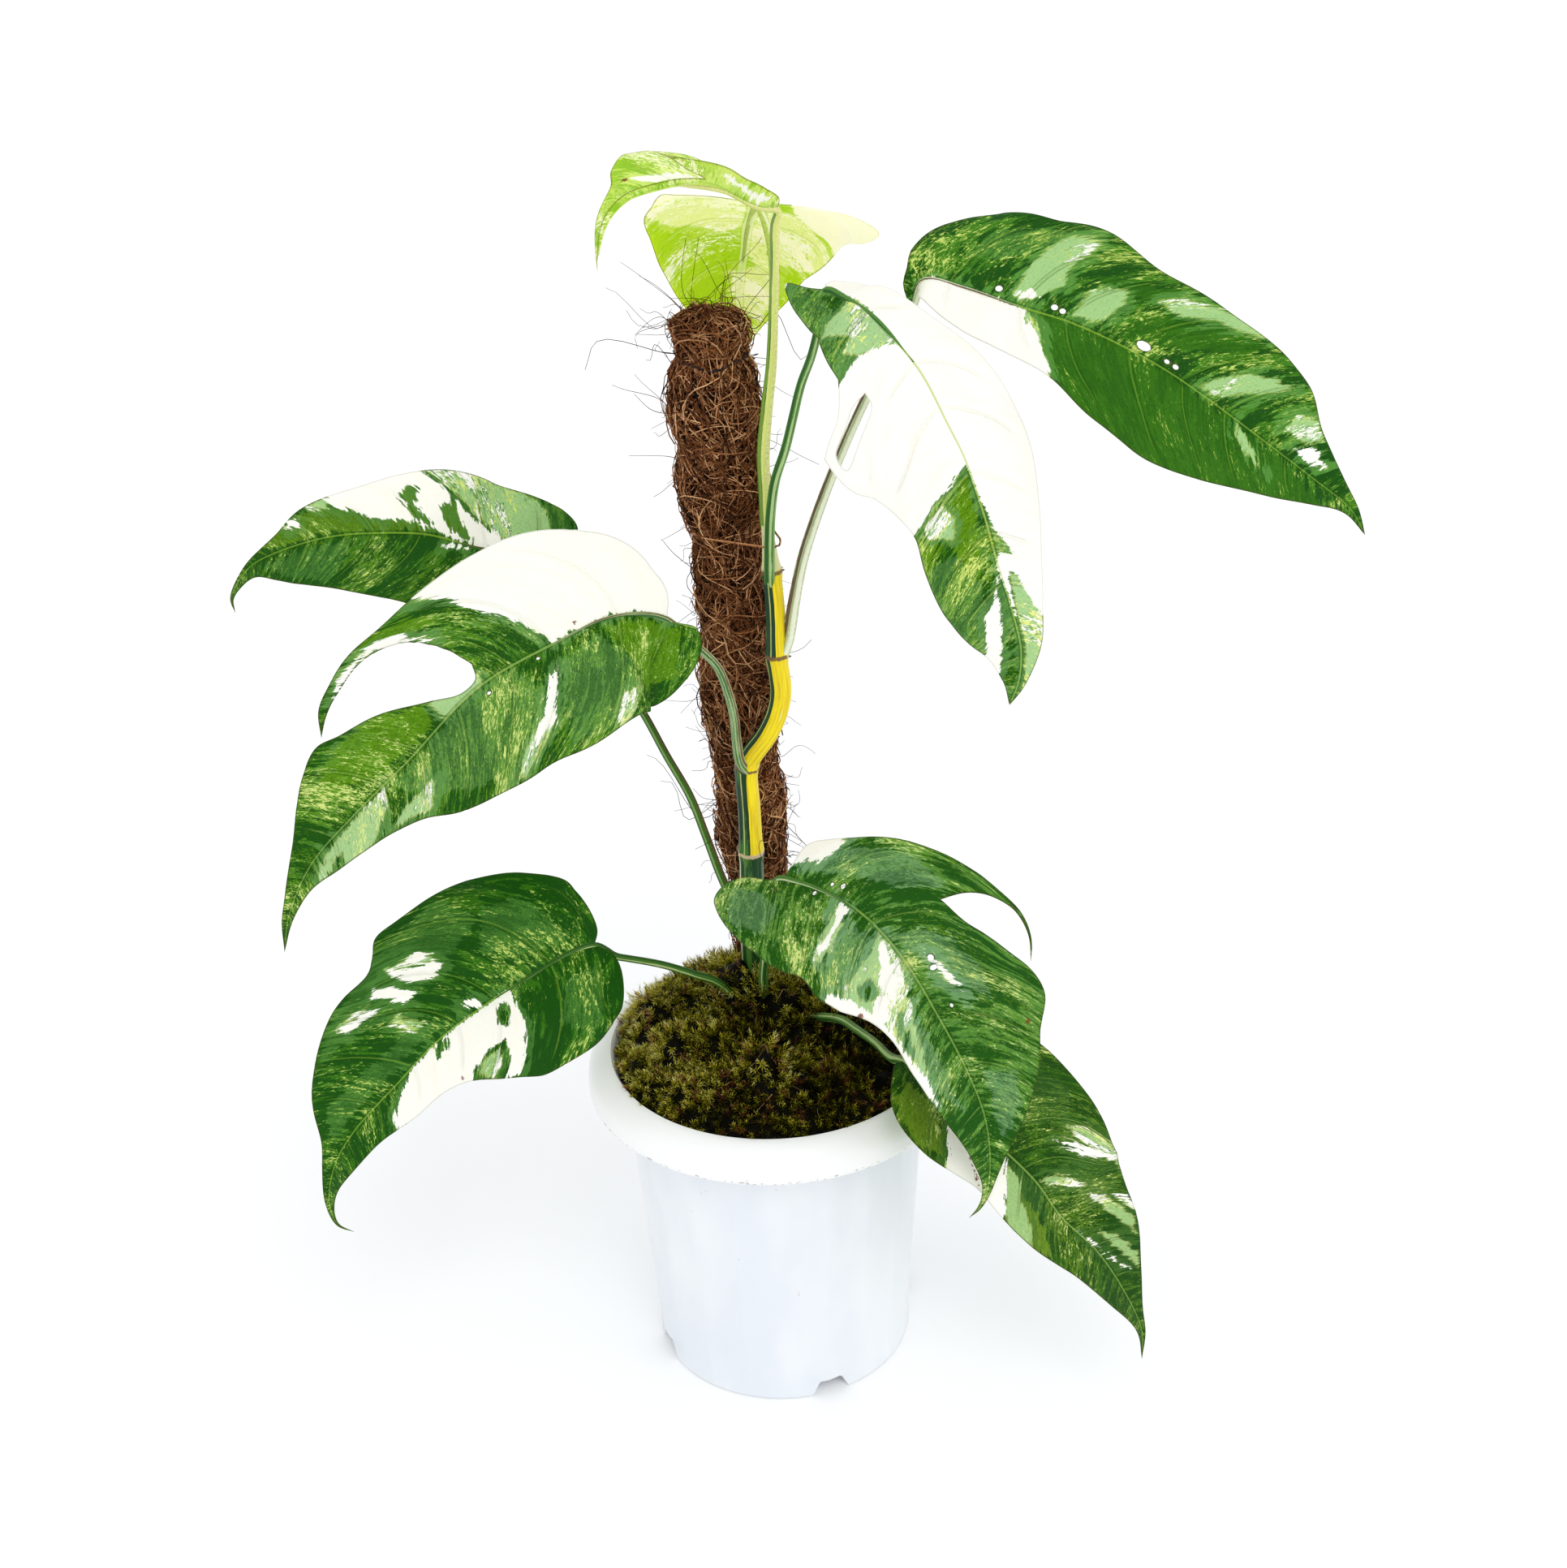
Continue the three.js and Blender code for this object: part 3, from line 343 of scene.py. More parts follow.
def joined(parts):
    """Several (points, faces, attribute arrays) as one."""
    points, faces, extras, first = [], [], [], 0
    for part_points, part_faces, part_extra in parts:
        points.append(part_points)
        faces += [tuple(np.array(f) + first) for f in part_faces]
        extras.append(part_extra)
        first += len(part_points)
    return np.vstack(points), faces, np.concatenate(extras)


# Leaves: the same midribs, folds and outlines as the solids

MIDRIB_STEP = 0.5
CURL_SPAN = 40
STRAIGHT = 1e-7
NORMAL_REACH = 1.5
WAVE = 0.9
WAVE_PITCH = 31
WAVE_SLANT = 0.7
WAVE_GROWTH = 1.4
BLADE = 0.62
VEIN_PITCH = 21
VEIN_DRIFT = 0.12
VEIN_WANDER = 0.115
PUFF = 0.6
RIPPLE = 0.1
RIPPLE_PITCH = 7.3
RIM_SHARE = 0.4
RIM_SPAN = 2.2
GROOVE_DEPTH = 0.5
MIDRIB_GROOVE = 0.9
NOWHERE = -30

# The blade's mesh: its grain, its rows by the midrib and the first of the others in mm, and in grains the
# pitch of the others and the gap to the margin under which a point is left out
GRAIN = 1.3
SPINE_ROWS = (0, -0.8, 0.8, -1.7, 1.7)
FIRST_ROW = 2.2
MOST_ROWS = 60
ROW_PITCH = 0.87
CLOSEST = 0.55
HOLE_SIDES = 9
CHUNKS = 8

# Each leaf's stalk, the stations of its girth, and its midrib. The blade's upper face looks the given ways at
# its base, middle and tip, and its left and right halves fold up from the midrib and curl, in degrees. The
# rest is flat, as (along the midrib, to its left) in mm: the runs of its outline, the slots and holes through
# it, and the patches of each colour. Green patches lie in white ones, islands are free of white and sage,
# and spots are scars.
LEAVES = [
    {
        "name": "leaf_1_top",
        "stalk": [(5, 18, 355.5), (5, 17.6, 363), (5, 17, 372), (5, 15, 385), (7, 14, 404), (9, 14, 419),
                  (11, 12, 449), (12, 10, 470)],
        "girth": [(0, 2.1), (0.25, 2.2), (1, 1.3)],
        "midrib": [(13, 8, 476), (8, 4, 478), (3, 0, 481), (-2, -4, 485), (-9, -9, 490), (-18, -15, 492),
                   (-27, -21, 492), (-36, -25, 490), (-42, -28, 485), (-45, -30, 479), (-47, -31, 468)],
        "face": [(-0.2, 0.05, 1), (-0.2, 0.1, 1), (-0.8, 0.1, 0.4)],
        "fold": (36, 34), "curl": (0, 0),
        "left": [[(4, 6), (13, 8), (25, 8), (38, 11), (50, 15), (56, 20)], [(46, 9), (35, 2)],
                 [(50, 3), (70, 3), (82, 1)]],
        "right": [[(-3, -5), (-2, -14), (10, -21), (32, -17), (48, -20), (56, -21), (61, -17), (64, -10),
                   (72, -6), (82, -3)]],
        "look": "crown",
        "white": [[(30, -1), (45, -6), (58, -8), (52, -3)], [(8, 5), (30, 6), (24, 3), (10, 2)]],
        "sage": [[(0, -8), (20, -14), (40, -14), (30, -8), (10, -5)]],
        "spots": [(60, -9, 1.1), (48, 13, 0.8)],
    },
    {
        "name": "leaf_2_behind_pole",
        "stalk": [(5, 19.4, 346), (5.1, 22.5, 358), (5.4, 26, 378), (7.2, 29.5, 399), (9, 31.5, 416),
                  (10.4, 33, 438), (10.4, 33, 454), (8.6, 33, 465)],
        "girth": [(0, 1.6), (1, 1.3)],
        "midrib": [(6, 34, 471), (5, 38, 470), (4, 46, 464), (2, 54, 457), (1, 62, 448), (-1, 68, 436),
                   (-2, 72, 425), (-2, 75, 413), (-1, 77, 403)],
        "face": [(0, 0.2, 1), (0, 0.75, 0.65), (0, 0.95, 0.3)],
        "fold": (16, -2), "curl": (-22, -12),
        "left": [[(-4, 4), (-8, 13), (-5, 24), (4, 33), (18, 37), (30, 37), (42, 34), (56, 28), (68, 20),
                  (78, 8)]],
        "right": [[(-3, -4), (0, -12), (4, -22), (7, -32), (11, -40), (16, -47), (21, -43), (28, -38),
                   (38, -32), (50, -24), (62, -18), (76, -7)]],
        "look": "young",
        "white": [[(-2, -12), (12, -15), (22, -24), (32, -30), (39, -34), (30, -44), (17, -52), (6, -46),
                   (0, -33)]],
        "sage": [[(12, -12), (20, -22), (38, -31), (46, -25), (44, -14), (46, -6), (40, -1), (14, -1)],
                 [(0, 1), (12, 3), (24, 2), (30, 8), (28, 18), (30, 30), (22, 38), (4, 36), (-8, 24),
                   (-8, 8)],
                 [(44, -10), (58, -14), (72, -8), (64, 2), (50, 3)]],
    },
    {
        "name": "leaf_3_high_right",
        "stalk": [(8, 15, 303), (11, 14.4, 311), (12.6, 14, 318), (14, 14, 326), (18, 13, 345), (26, 12, 369),
                  (35.2, 10.5, 392), (45.3, 10, 413.5), (55.4, 9, 432)],
        "girth": [(0, 2.6), (0.2, 2.1), (1, 1.5)],
        "midrib": [(59.4, 8, 442), (60.4, 7, 448), (64.4, 5, 451), (77.5, 0, 448), (95.6, -7, 443),
                   (110.7, -12, 439), (127.8, -18, 432), (143, -23, 424), (158, -28, 414), (174.2, -32, 402),
                   (192.3, -35, 388), (205.4, -36, 377), (211.5, -36, 367)],
        "face": [(0.1, -0.45, 0.9), (0.15, -0.7, 0.75), (0.3, -0.8, 0.5)],
        "fold": (12, 12), "curl": (-10, -10),
        "left": [[(-1, 2), (5, 5), (8, 15), (11, 22), (17, 30), (29, 36), (42, 38), (57, 39), (72, 35),
                  (86, 31), (103, 31), (120, 30), (133, 29), (144, 25), (155, 16), (167, 9), (177, 4)]],
        "right": [[(4, -4), (10, -11), (20, -18), (32, -22), (42, -23), (56, -26), (68, -28), (85, -34),
                   (103, -36), (120, -33), (136, -25), (150, -18), (166, -9), (176, -4)]],
        "look": "patched",
        "white": [[(-2, 0), (47, -0.5), (48, -6), (53, -10), (55, -14), (59, -20), (63, -23), (67, -29),
                   (50, -30), (20, -24), (0, -12)], [(150, 4), (157, 9), (163, 6), (158, 3)],
                  [(41, 3), (46, 8), (50, 6), (44, 3)]],
        "sage": [[(47, 0), (48, -7), (53, -12), (57, -15), (54, -8), (50, -3)],
                 [(41, 3), (42, 10), (43, 18), (46, 25), (53, 31), (62, 34), (60, 27), (56, 20), (56, 13),
                  (50, 6), (44, 2)],
                 [(63, 3), (64, 11), (68, 16), (75, 20), (76, 13), (73, 6), (68, 3)],
                 [(112, 2), (116, 8), (122, 15), (130, 19), (140, 22), (134, 16), (126, 10), (121, 4)],
                 [(86, 20), (94, 26), (108, 31), (124, 31), (118, 28), (104, 25), (95, 20)],
                 [(143, 8), (145, 14), (152, 17), (158, 13), (152, 8)],
                 [(130, -2), (131, -6), (137, -9), (144, -12), (140, -8), (134, -4)]],
        "haze": [[(20, 12), (34, 16), (44, 24), (54, 34), (40, 34), (24, 24)]],
        "lime": [[(49, -0.8), (49, -9), (56, -17), (64, -26), (84, -35), (104, -37), (124, -33), (150, -20),
                  (172, -8), (150, -3), (110, -1.5), (80, -0.8)],
                 [(78, 2), (82, 10), (92, 18), (108, 24), (124, 27), (112, 16), (98, 8), (88, 3)],
                 [(62, 20), (76, 24), (90, 26), (104, 24), (88, 20), (74, 16)]],
        "holes": [(35.5, 4, 1.3, 1.3), (56, 3.5, 1.2, 1.2), (59, 3, 1.1, 1.1), (88.6, 3.6, 2.6, 1.7),
                  (97.9, 2.8, 1, 0.8), (101.3, 2.8, 1.1, 0.9)],
    },
    {
        "name": "leaf_4_half_white",
        "stalk": [(5.5, 15.5, 334), (5.6, 11.6, 341), (6, 9.9, 352), (7, 9, 366), (9, 6, 379), (13, 3, 392),
                  (16, -1, 405), (19, -5, 418), (23, -9, 430), (26, -13, 443)],
        "girth": [(0, 1.9), (0.15, 1.7), (1, 1.4)],
        "midrib": [(28, -17, 455), (33, -22, 454), (39, -28, 453), (50, -40, 444), (58, -48, 435),
                   (66, -56, 420), (71, -60, 410), (77, -65, 392), (81, -68, 377), (86, -71, 360),
                   (89, -74, 346), (88, -76, 335), (85, -77, 327)],
        "face": [(0, -0.6, 0.85), (0.05, -0.9, 0.5), (0, -0.97, 0.15)],
        "fold": (-22, -4), "curl": (-16, -10),
        "left": [[(-3, 3), (-3, 8), (4, 13), (15, 16.5), (25, 19), (38, 23), (52, 27), (68, 29.3), (87, 27),
                  (109, 21), (122, 17), (137, 11.5), (145, 9), (154, 5)]],
        "right": [[(-6, -2), (-15, -4), (-8, -10), (3, -15), (25, -22), (33, -23)],
                  [(40, -28), (50, -34.5), (60, -41.5)],
                  [(68, -40), (80, -33), (92, -27), (100, -24), (113, -24), (129, -22), (141, -17),
                   (151, -11), (160, -5)]],
        "slots": [[(43, -19), (50, -20), (58, -27), (66, -36.5), (61, -37.5), (53, -31), (45, -25)]],
        "look": "halved",
        "white": [[(-30, -50), (190, -50), (190, 50), (-30, 50)]],
        "green": [[(-16, -2), (-9, -12), (3, -17), (12, -22), (24, -25), (35, -25), (33, -18), (31, -13),
                   (33, -5), (36, -0.3), (20, 0.6), (5, 1.4), (-5, 0)],
                  [(82, -0.3), (84, -5), (88, -8), (90, -14), (96, -20), (100, -26), (113, -26), (130, -24),
                   (144, -17), (151, -12), (143, -11), (134, -9.5), (128, -5), (120, -1.2), (113, 1),
                   (116, 7), (110, 4.5), (105, 2), (95, 0.5)],
                  [(118, -0.5), (126, -3), (136, -4.5), (146, -6.5), (159, -7), (166, -2), (169, 1),
                    (150, 1), (132, 0.6)],
                  [(120, 2.5), (124, 6), (131, 7), (137, 10), (142, 12), (152, 8), (161, 4), (168, 0),
                   (150, 0), (138, 0.4), (129, 1.2)]],
        "sage": [[(10, 2), (12, -5), (10, -12), (14, -19), (20, -13), (25, -9), (33, -4), (37, 0)],
                 [(22, -7), (27, -4), (34, -4), (31, -12), (27, -16), (24, -11)],
                 [(92, -12), (98, -10), (104, -12), (102, -20), (97, -20)],
                 [(121, 3), (127, 8), (136, 11), (146, 10), (156, 5), (163, 2), (150, 1.8), (136, 2)]],
        "haze": [[(110, -12), (122, -7), (138, -10), (150, -13), (140, -19), (128, -25), (112, -26)],
                 [(116, 1), (124, 9), (140, 14), (156, 9), (166, 2), (146, 4), (130, 2)],
                 [(100, -3), (108, -1), (116, -3), (110, -7), (102, -8)],
                 [(-16, -2), (-6, -12), (6, -20), (16, -24), (30, -27), (34, -20), (20, -14), (4, -4)]],
        "lime": [[(84, -1), (88, -8), (92, -14), (104, -14), (116, -10), (112, -4), (100, -2)],
                 [(104, -14), (112, -22), (122, -26), (110, -28), (100, -27)],
                 [(103, 1), (109, 4), (117, 7), (113, 1)]],
    },
    {
        "name": "leaf_5_left_rear",
        "stalk": [(-7.5, 17, 182), (-12, 15.5, 190), (-15, 15, 200), (-19, 14, 213), (-23, 15, 227),
                  (-29, 17, 246), (-37, 20, 262), (-45, 23, 279), (-56, 26, 298), (-67, 29, 319),
                  (-76, 29, 334)],
        "girth": [(0, 1.9), (0.1, 1.6), (1, 1.3)],
        "midrib": [(-82, 26, 341), (-90, 24, 346), (-101, 22, 350), (-119, 18, 358), (-138, 14, 361),
                   (-152, 10, 362), (-167, 6, 360), (-181, 3, 355), (-187, 1, 349), (-190, 0, 343),
                   (-189, -1, 338)],
        "face": [(-0.15, -0.6, 0.8), (-0.25, -0.65, 0.7), (-0.4, -0.75, 0.5)],
        "fold": (14, 14), "curl": (-12, -12),
        "left": [[(-4, 3), (-9, 9), (-8, 19), (0, 28), (14, 33), (32, 34), (52, 31), (66, 28), (86, 21),
                  (100, 12), (110, 5)]],
        "right": [[(-5, -3), (-12, -10), (-12, -20), (-5, -24), (8, -25), (22, -26), (38, -26), (52, -22),
                   (72, -16), (86, -12), (96, -6), (108, -2)]],
        "look": "limed",
        "white": [[(3, -1), (14, -5), (26, -10), (37, -17), (46, -25), (55, -24), (66, -20), (77, -16),
                   (74, -10), (70, -9), (62, -6), (52, -5), (42, -3), (34, -1), (18, -0.6)],
                  [(86, -7), (90, -6), (92, -9), (87, -10)],
                  [(26, 1.5), (31, 3.5), (36, 4), (31, 1.5)]],
        "green": [[(46, -17), (50, -18), (52, -14), (49, -10), (47, -6), (44, -4), (40, -4), (44, -8),
                   (46, -12)],
                  [(36, -15), (34, -12), (31, -8), (27, -4), (24, -2), (31, -2), (36, -5), (39, -10)]],
        "sage": [[(0, -2), (14, -6), (26, -12), (37, -19), (44, -25), (30, -28), (12, -25), (2, -21),
                  (-4, -12)],
                 [(66, -19), (74, -16), (84, -12), (78, -11), (70, -14)]],
        "haze": [[(-12, -4), (0, -3), (12, -8), (16, -18), (8, -26), (-8, -24), (-14, -14)],
                 [(70, 3), (90, 3), (104, 4), (98, 12), (84, 20), (74, 12)]],
        "lime": [[(34, -0.5), (60, -0.8), (84, -1), (104, -3), (94, -9), (80, -12), (70, -10), (52, -6)],
                 [(36, -0.5), (38, -12), (46, -18), (53, -18), (54, -8), (50, -0.5)],
                 [(22, -0.5), (26, -8), (34, -16), (40, -14), (40, -4), (36, -0.5)]],
    },
    {
        "name": "leaf_6_left_split",
        "stalk": [(-5, 12.5, 257), (-8.5, 8.5, 264), (-9.5, 7, 273), (-10, 4, 286), (-12, 0, 299),
                  (-15, -5, 311), (-20, -8, 319), (-26, -11, 326)],
        "girth": [(0, 1.9), (0.2, 1.7), (1, 1.4)],
        "midrib": [(-32, -14, 335), (-38, -16, 338), (-50, -20, 340), (-73, -28, 333), (-99, -38, 322),
                   (-125, -48, 299), (-144, -55, 283), (-161, -60, 266), (-171, -63, 247), (-175, -63, 231)],
        "face": [(-0.25, -0.75, 0.6), (-0.25, -0.8, 0.55), (-0.3, -0.85, 0.45)],
        "fold": (12, 12), "curl": (-12, -12),
        "left": [[(-5, 0), (-12, 0), (-15, 5), (-14, 13), (-10, 21), (-4, 29), (4, 35), (14, 38), (30, 40),
                  (45, 41.5), (62, 41), (80, 40), (90, 38), (100, 34), (110, 28.5), (120, 21), (131, 16.5),
                  (145, 13), (158, 10), (171, 5), (186, 2)]],
        "right": [[(1, -5), (7, -16), (17, -29), (28, -38), (40, -42), (54, -43), (68, -41), (84, -41),
                   (98, -42), (113, -40.5), (122, -36), (128, -28)],
                  [(121, -32.5), (114, -35.5), (102, -37), (92, -35.5), (83, -30), (76, -19), (72, -8)],
                  [(74, -3), (81, -2.5), (91, -9), (106, -19), (123, -24), (132, -27), (142, -23),
                   (151, -17), (162, -9), (177, -4), (189, -2)]],
        "look": "marbled",
        "white": [[(-3, -0.5), (45, -0.5), (47, -5), (51, -12), (56, -17), (61, -21), (64, -27), (67, -32),
                   (71, -37), (75, -42), (60, -46), (30, -44), (10, -26), (-3, -8)],
                  [(116, -35.2), (108, -37.3), (98, -37.4), (91, -35.8), (84, -31.5), (80, -27), (77, -24),
                   (82, -33), (88, -37.5), (98, -39.5), (110, -38.6)],
                  [(46, 9), (50, 14), (54, 22), (58, 28), (64, 30), (70, 32), (66, 27), (60, 24), (56, 18),
                   (51, 11)]],
        "sage": [[(73, -0.3), (91, -0.3), (91, -8), (86, -8), (80, -4), (72, -4)],
                 [(24, 30), (28, 37), (38, 42), (37, 37), (30, 31)],
                 [(58, 28), (66, 33), (76, 36), (88, 38), (80, 33), (70, 29), (62, 25)],
                 [(108, 13), (112, 17), (117, 20), (122, 17), (131, 15), (120, 13)],
                 [(124, 1), (127, 6), (133, 11), (142, 14), (152, 12), (150, 7), (160, 4), (146, 2)],
                 [(154, 6), (158, 9), (165, 7), (160, 4)]],
        "haze": [[(62, 1), (80, 1), (104, 1), (122, 2), (114, 14), (102, 26), (86, 36), (74, 38), (64, 26),
                  (56, 14)],
                 [(30, 4), (44, 10), (52, 26), (56, 38), (40, 40), (26, 34), (18, 20)],
                 [(84, -38), (98, -40), (112, -40), (124, -34), (110, -38), (96, -41)],
                 [(110, -22), (124, -23), (138, -20), (130, -16), (118, -14)]],
        "lime": [[(72, -26), (78, -36), (90, -42), (104, -41), (92, -38), (82, -32)],
                 [(92, -9), (106, -18), (122, -22), (134, -20), (146, -12), (128, -6), (108, -2), (94, -2)],
                 [(-6, 2), (10, 2), (26, 4), (20, 18), (10, 30), (-6, 20)]],
        "holes": [(73, 4.5, 0.8, 0.7), (51.5, 2.5, 0.7, 0.6)],
        "spots": [(34, -3, 0.9)],
    },
    {
        "name": "leaf_7_low_left",
        "stalk": [(-9, 20, 134), (-11.5, 14, 143), (-13.5, 12, 152), (-17, 10, 159), (-23, 8, 166),
                  (-30, 5, 171), (-36, 3, 175), (-43, 1, 179), (-49, -1, 182), (-56, -3, 185),
                  (-61, -5.5, 188)],
        "girth": [(0, 2.1), (0.3, 1.6), (1, 1.3)],
        "midrib": [(-68, -8, 195), (-76, -12, 195), (-93, -20, 189), (-110, -28, 182), (-128, -36, 172),
                   (-144, -43, 158), (-162, -50, 141), (-170, -54, 129), (-174, -56, 113), (-172, -57, 102),
                   (-166, -57, 98)],
        "face": [(-0.2, -0.7, 0.7), (-0.25, -0.8, 0.6), (-0.35, -0.9, 0.3)],
        "fold": (10, 10), "curl": (-12, -12),
        "left": [[(-3, 3), (-5, 5), (-6, 10), (-5, 17), (-1, 27), (3, 32), (11, 35), (21, 38), (33, 38.5),
                  (45, 37), (53, 32.5), (60, 28.5), (70, 22), (84, 17), (98, 15), (112, 12), (131, 9),
                  (145, 4), (156, 1.5)]],
        "right": [[(-3, -5), (-3, -13), (0, -23), (6, -31), (14, -40), (26, -46), (42, -48), (58, -48.5),
                   (66, -47.5), (70, -42), (74, -38.5), (85, -39), (95, -37), (106, -32.5), (114, -26),
                   (122, -18), (130, -8), (138, -4.5), (157, -1.2)]],
        "look": "green",
        "white": [[(37, 0.3), (39, 8), (39, 14), (42, 20), (46, 26), (52, 31), (62, 30), (78, 22), (92, 18),
                   (106, 14), (104, 10), (100, 7), (94, 4), (86, 0.3)],
                  [(53, -22), (55, -26), (60, -27), (66, -30), (69, -35), (68, -29), (64, -24), (58, -20.5)],
                  [(54, -28), (58, -32), (66, -33), (61, -29)],
                  [(67, -20), (71, -27), (76, -33), (78, -30), (74, -24), (71, -19.5)],
                  [(78, -25.5), (85, -29), (95, -30.5), (94, -27.5), (85, -26)],
                  [(48, -1), (53, -6), (56, -5), (53, -1)]],
        "green": [[(50, 17), (52, 25), (58, 30), (63, 28), (71, 23), (67, 19), (58, 17)],
                  [(41, 3), (42, 9), (46, 13), (49, 10), (45, 4)], [(67, 1), (69, 5), (77, 6), (72, 1)]],
        "haze": [[(34, -30), (48, -24), (62, -20), (76, -18), (98, -27), (112, -26), (98, -36), (80, -38),
                  (60, -44), (42, -46)],
                 [(60, -2), (84, -4), (110, -4), (128, -4), (118, -14), (96, -12), (74, -10)],
                 [(8, -4), (26, -8), (40, -18), (30, -34), (16, -30)],
                 [(2, 8), (18, 10), (28, 24), (22, 34), (8, 28)]],
        "sage": [[(54, -25), (60, -28), (66, -31), (60, -30), (55, -28)],
                 [(80, -29), (92, -32), (96, -31), (84, -28)],
                 [(53, 18), (56, 24), (62, 26), (66, 22), (60, 18)],
                 [(70, -8), (76, -18), (80, -18), (75, -9)]],
        "spots": [(73, 18.5, 0.9)],
    },
    {
        "name": "leaf_8_low_right_split",
        "stalk": [(-6.5, 18, 134), (-3.5, 12.5, 142), (-3, 8, 154), (-3, 3, 171), (-1, -3, 190), (1, -8, 206),
                  (3, -11.5, 216)],
        "girth": [(0, 2.3), (0.3, 1.9), (1, 1.5)],
        "midrib": [(4, -12, 224), (11, -16, 225), (21, -22, 224), (34, -31, 220), (45, -42, 213),
                   (53, -52, 205), (61, -63, 194), (70, -72, 178), (77, -80, 161), (79, -85, 146),
                   (78, -88, 132), (75, -89, 124), (71, -90, 120)],
        "face": [(0.15, -0.6, 0.8), (0.2, -0.75, 0.65), (0.3, -0.9, 0.35)],
        "fold": (12, 12), "curl": (-10, -14),
        "left": [[(3, 2), (5, 7), (8, 16), (14, 20), (22, 25), (34, 33), (45, 40), (58, 45), (70, 47),
                  (79, 45), (86, 41)],
                 [(76, 45), (67, 45), (60, 41), (56, 35), (53, 25)],
                 [(62, 27), (75, 34), (88, 39), (99, 39), (108, 32), (118, 26), (128, 18), (139, 9),
                  (152, 3)]],
        "right": [[(-5, -1), (-13, -1), (-20, -5), (-22, -13), (-18, -19), (-10, -26), (2, -33), (15, -37),
                   (32, -38), (46, -36), (58, -37), (68, -33), (78, -25), (87, -21), (101, -20), (124, -16),
                   (143, -8), (156, -2.5)]],
        "look": "flecked",
        "white": [[(3, 3), (10, 9), (13, 9), (16, 13), (18, 18), (19, 23), (8, 22), (0, 8)],
                  [(28, -1), (32, -8), (34, -16), (36, -23), (40, -26), (40, -20), (36, -13), (35, -7),
                   (33, -2)],
                  [(50, -1.5), (57, -4), (64, -6), (70, -8), (74, -12), (70, -15), (64, -13), (58, -9),
                   (53, -5)],
                  [(60, -34), (66, -28), (74, -23.5), (80, -20.5), (88, -18.5), (96, -17.6), (106, -16.4),
                   (116, -16.4), (104, -23), (88, -26), (76, -33), (66, -39)],
                  [(70, -14), (76, -15), (82, -19), (78, -23), (72, -20)],
                  [(64, 7.5), (70, 8.2), (78, 10), (86, 14), (78, 12), (70, 10)]],
        "islands": [[(62, -17), (67, -14.5), (71, -16), (72, -20), (69, -24), (64, -23)],
                    [(79, -11), (84, -12.5), (92, -14.5), (97, -17), (90, -19), (83, -17)]],
        "sage": [[(48, -1), (56, -1.6), (64, -3), (72, -5), (79, -8), (82, -10), (92, -12), (102, -15),
                  (108, -19), (90, -23), (78, -26), (68, -31), (62, -27), (58, -19), (55, -11), (51, -5)],
                 [(29, -8), (34, -20), (39, -28), (44, -27), (40, -18), (36, -8)]],
        "haze": [[(50, 1), (56, 12), (66, 19), (78, 23), (92, 21), (84, 15), (72, 9), (62, 2)],
                 [(40, -6), (52, -4), (58, -14), (64, -26), (56, -34), (44, -30), (38, -16)],
                 [(72, -6), (80, -8), (92, -8), (108, -8), (122, -8), (112, -15), (98, -15), (84, -12)],
                 [(4, 2), (22, 8), (40, 16), (50, 30), (36, 30), (20, 20)],
                 [(112, 6), (128, 4), (140, 4), (128, 14), (118, 16)],
                 [(-18, -6), (-4, -8), (8, -16), (2, -28), (-12, -22)]],
        "holes": [(26, 5, 0.8, 1.2), (22, 3.8, 0.6, 0.8), (67, 8.8, 1.3, 1.2), (70.6, 7.6, 1, 1.4),
                  (86, 6.4, 0.8, 0.6), (17.8, -2.5, 0.7, 1.1)],
        "spots": [(104, 29, 1.0), (74.5, -27, 1.2)],
    },
    {
        "name": "leaf_9_low_right_rear",
        "stalk": [(-3.5, 21, 134), (2.5, 14, 140), (7, 7, 147), (11, 1, 151), (14, -3, 154), (20, -9, 158),
                  (27, -16, 161), (33, -25, 162), (40, -35, 162), (45, -43, 161)],
        "girth": [(0, 2.1), (0.3, 1.8), (1, 1.4)],
        "midrib": [(50, -50, 164), (60, -57, 157), (72, -63, 147), (87, -68, 133), (98, -71, 121),
                   (108, -73, 105), (121, -74, 90), (133, -73, 68), (141, -71, 46), (142, -70, 30)],
        "face": [(0.3, -0.55, 0.8), (0.35, -0.75, 0.6), (0.4, -0.9, 0.3)],
        "fold": (12, 12), "curl": (-12, -12),
        "left": [[(-4, 3), (-9, 10), (-8, 20), (2, 31), (18, 38), (37, 41.5), (52, 41.5), (64, 38.5),
                  (78, 34.5), (87, 33), (96, 29.5), (106, 23.5), (118, 16.5), (132, 9), (146, 3.5),
                  (158, 1.5)]],
        "right": [[(-2, -4), (1, -10), (7, -18), (14, -23), (26, -25), (38, -22.5), (50, -20.5), (60, -21.5),
                   (72, -21), (82, -19), (92, -16.5), (110, -13.5), (130, -9), (152, -3)]],
        "look": "olive",
        "white": [[(25, -7), (29, -11), (33, -18), (37, -26), (52, -23), (66, -23), (64, -18), (60, -13),
                   (56, -8), (52, -0.6), (38, -2)],
                  [(63, 16), (69, 21), (75, 27), (83, 31), (79, 26), (73, 21), (67, 17)],
                  [(97, 0.3), (105, 1.2), (118, 4), (126, 7), (118, 3), (108, 0.8)],
                  [(100, 20.5), (104, 24), (108, 22.5)]],
        "sage": [[(64, 24), (70, 30), (79, 34), (90, 33), (96, 30), (86, 30), (76, 26)],
                 [(55, -5), (59, -12), (64, -19), (72, -22), (84, -19), (78, -14), (68, -11), (61, -4)],
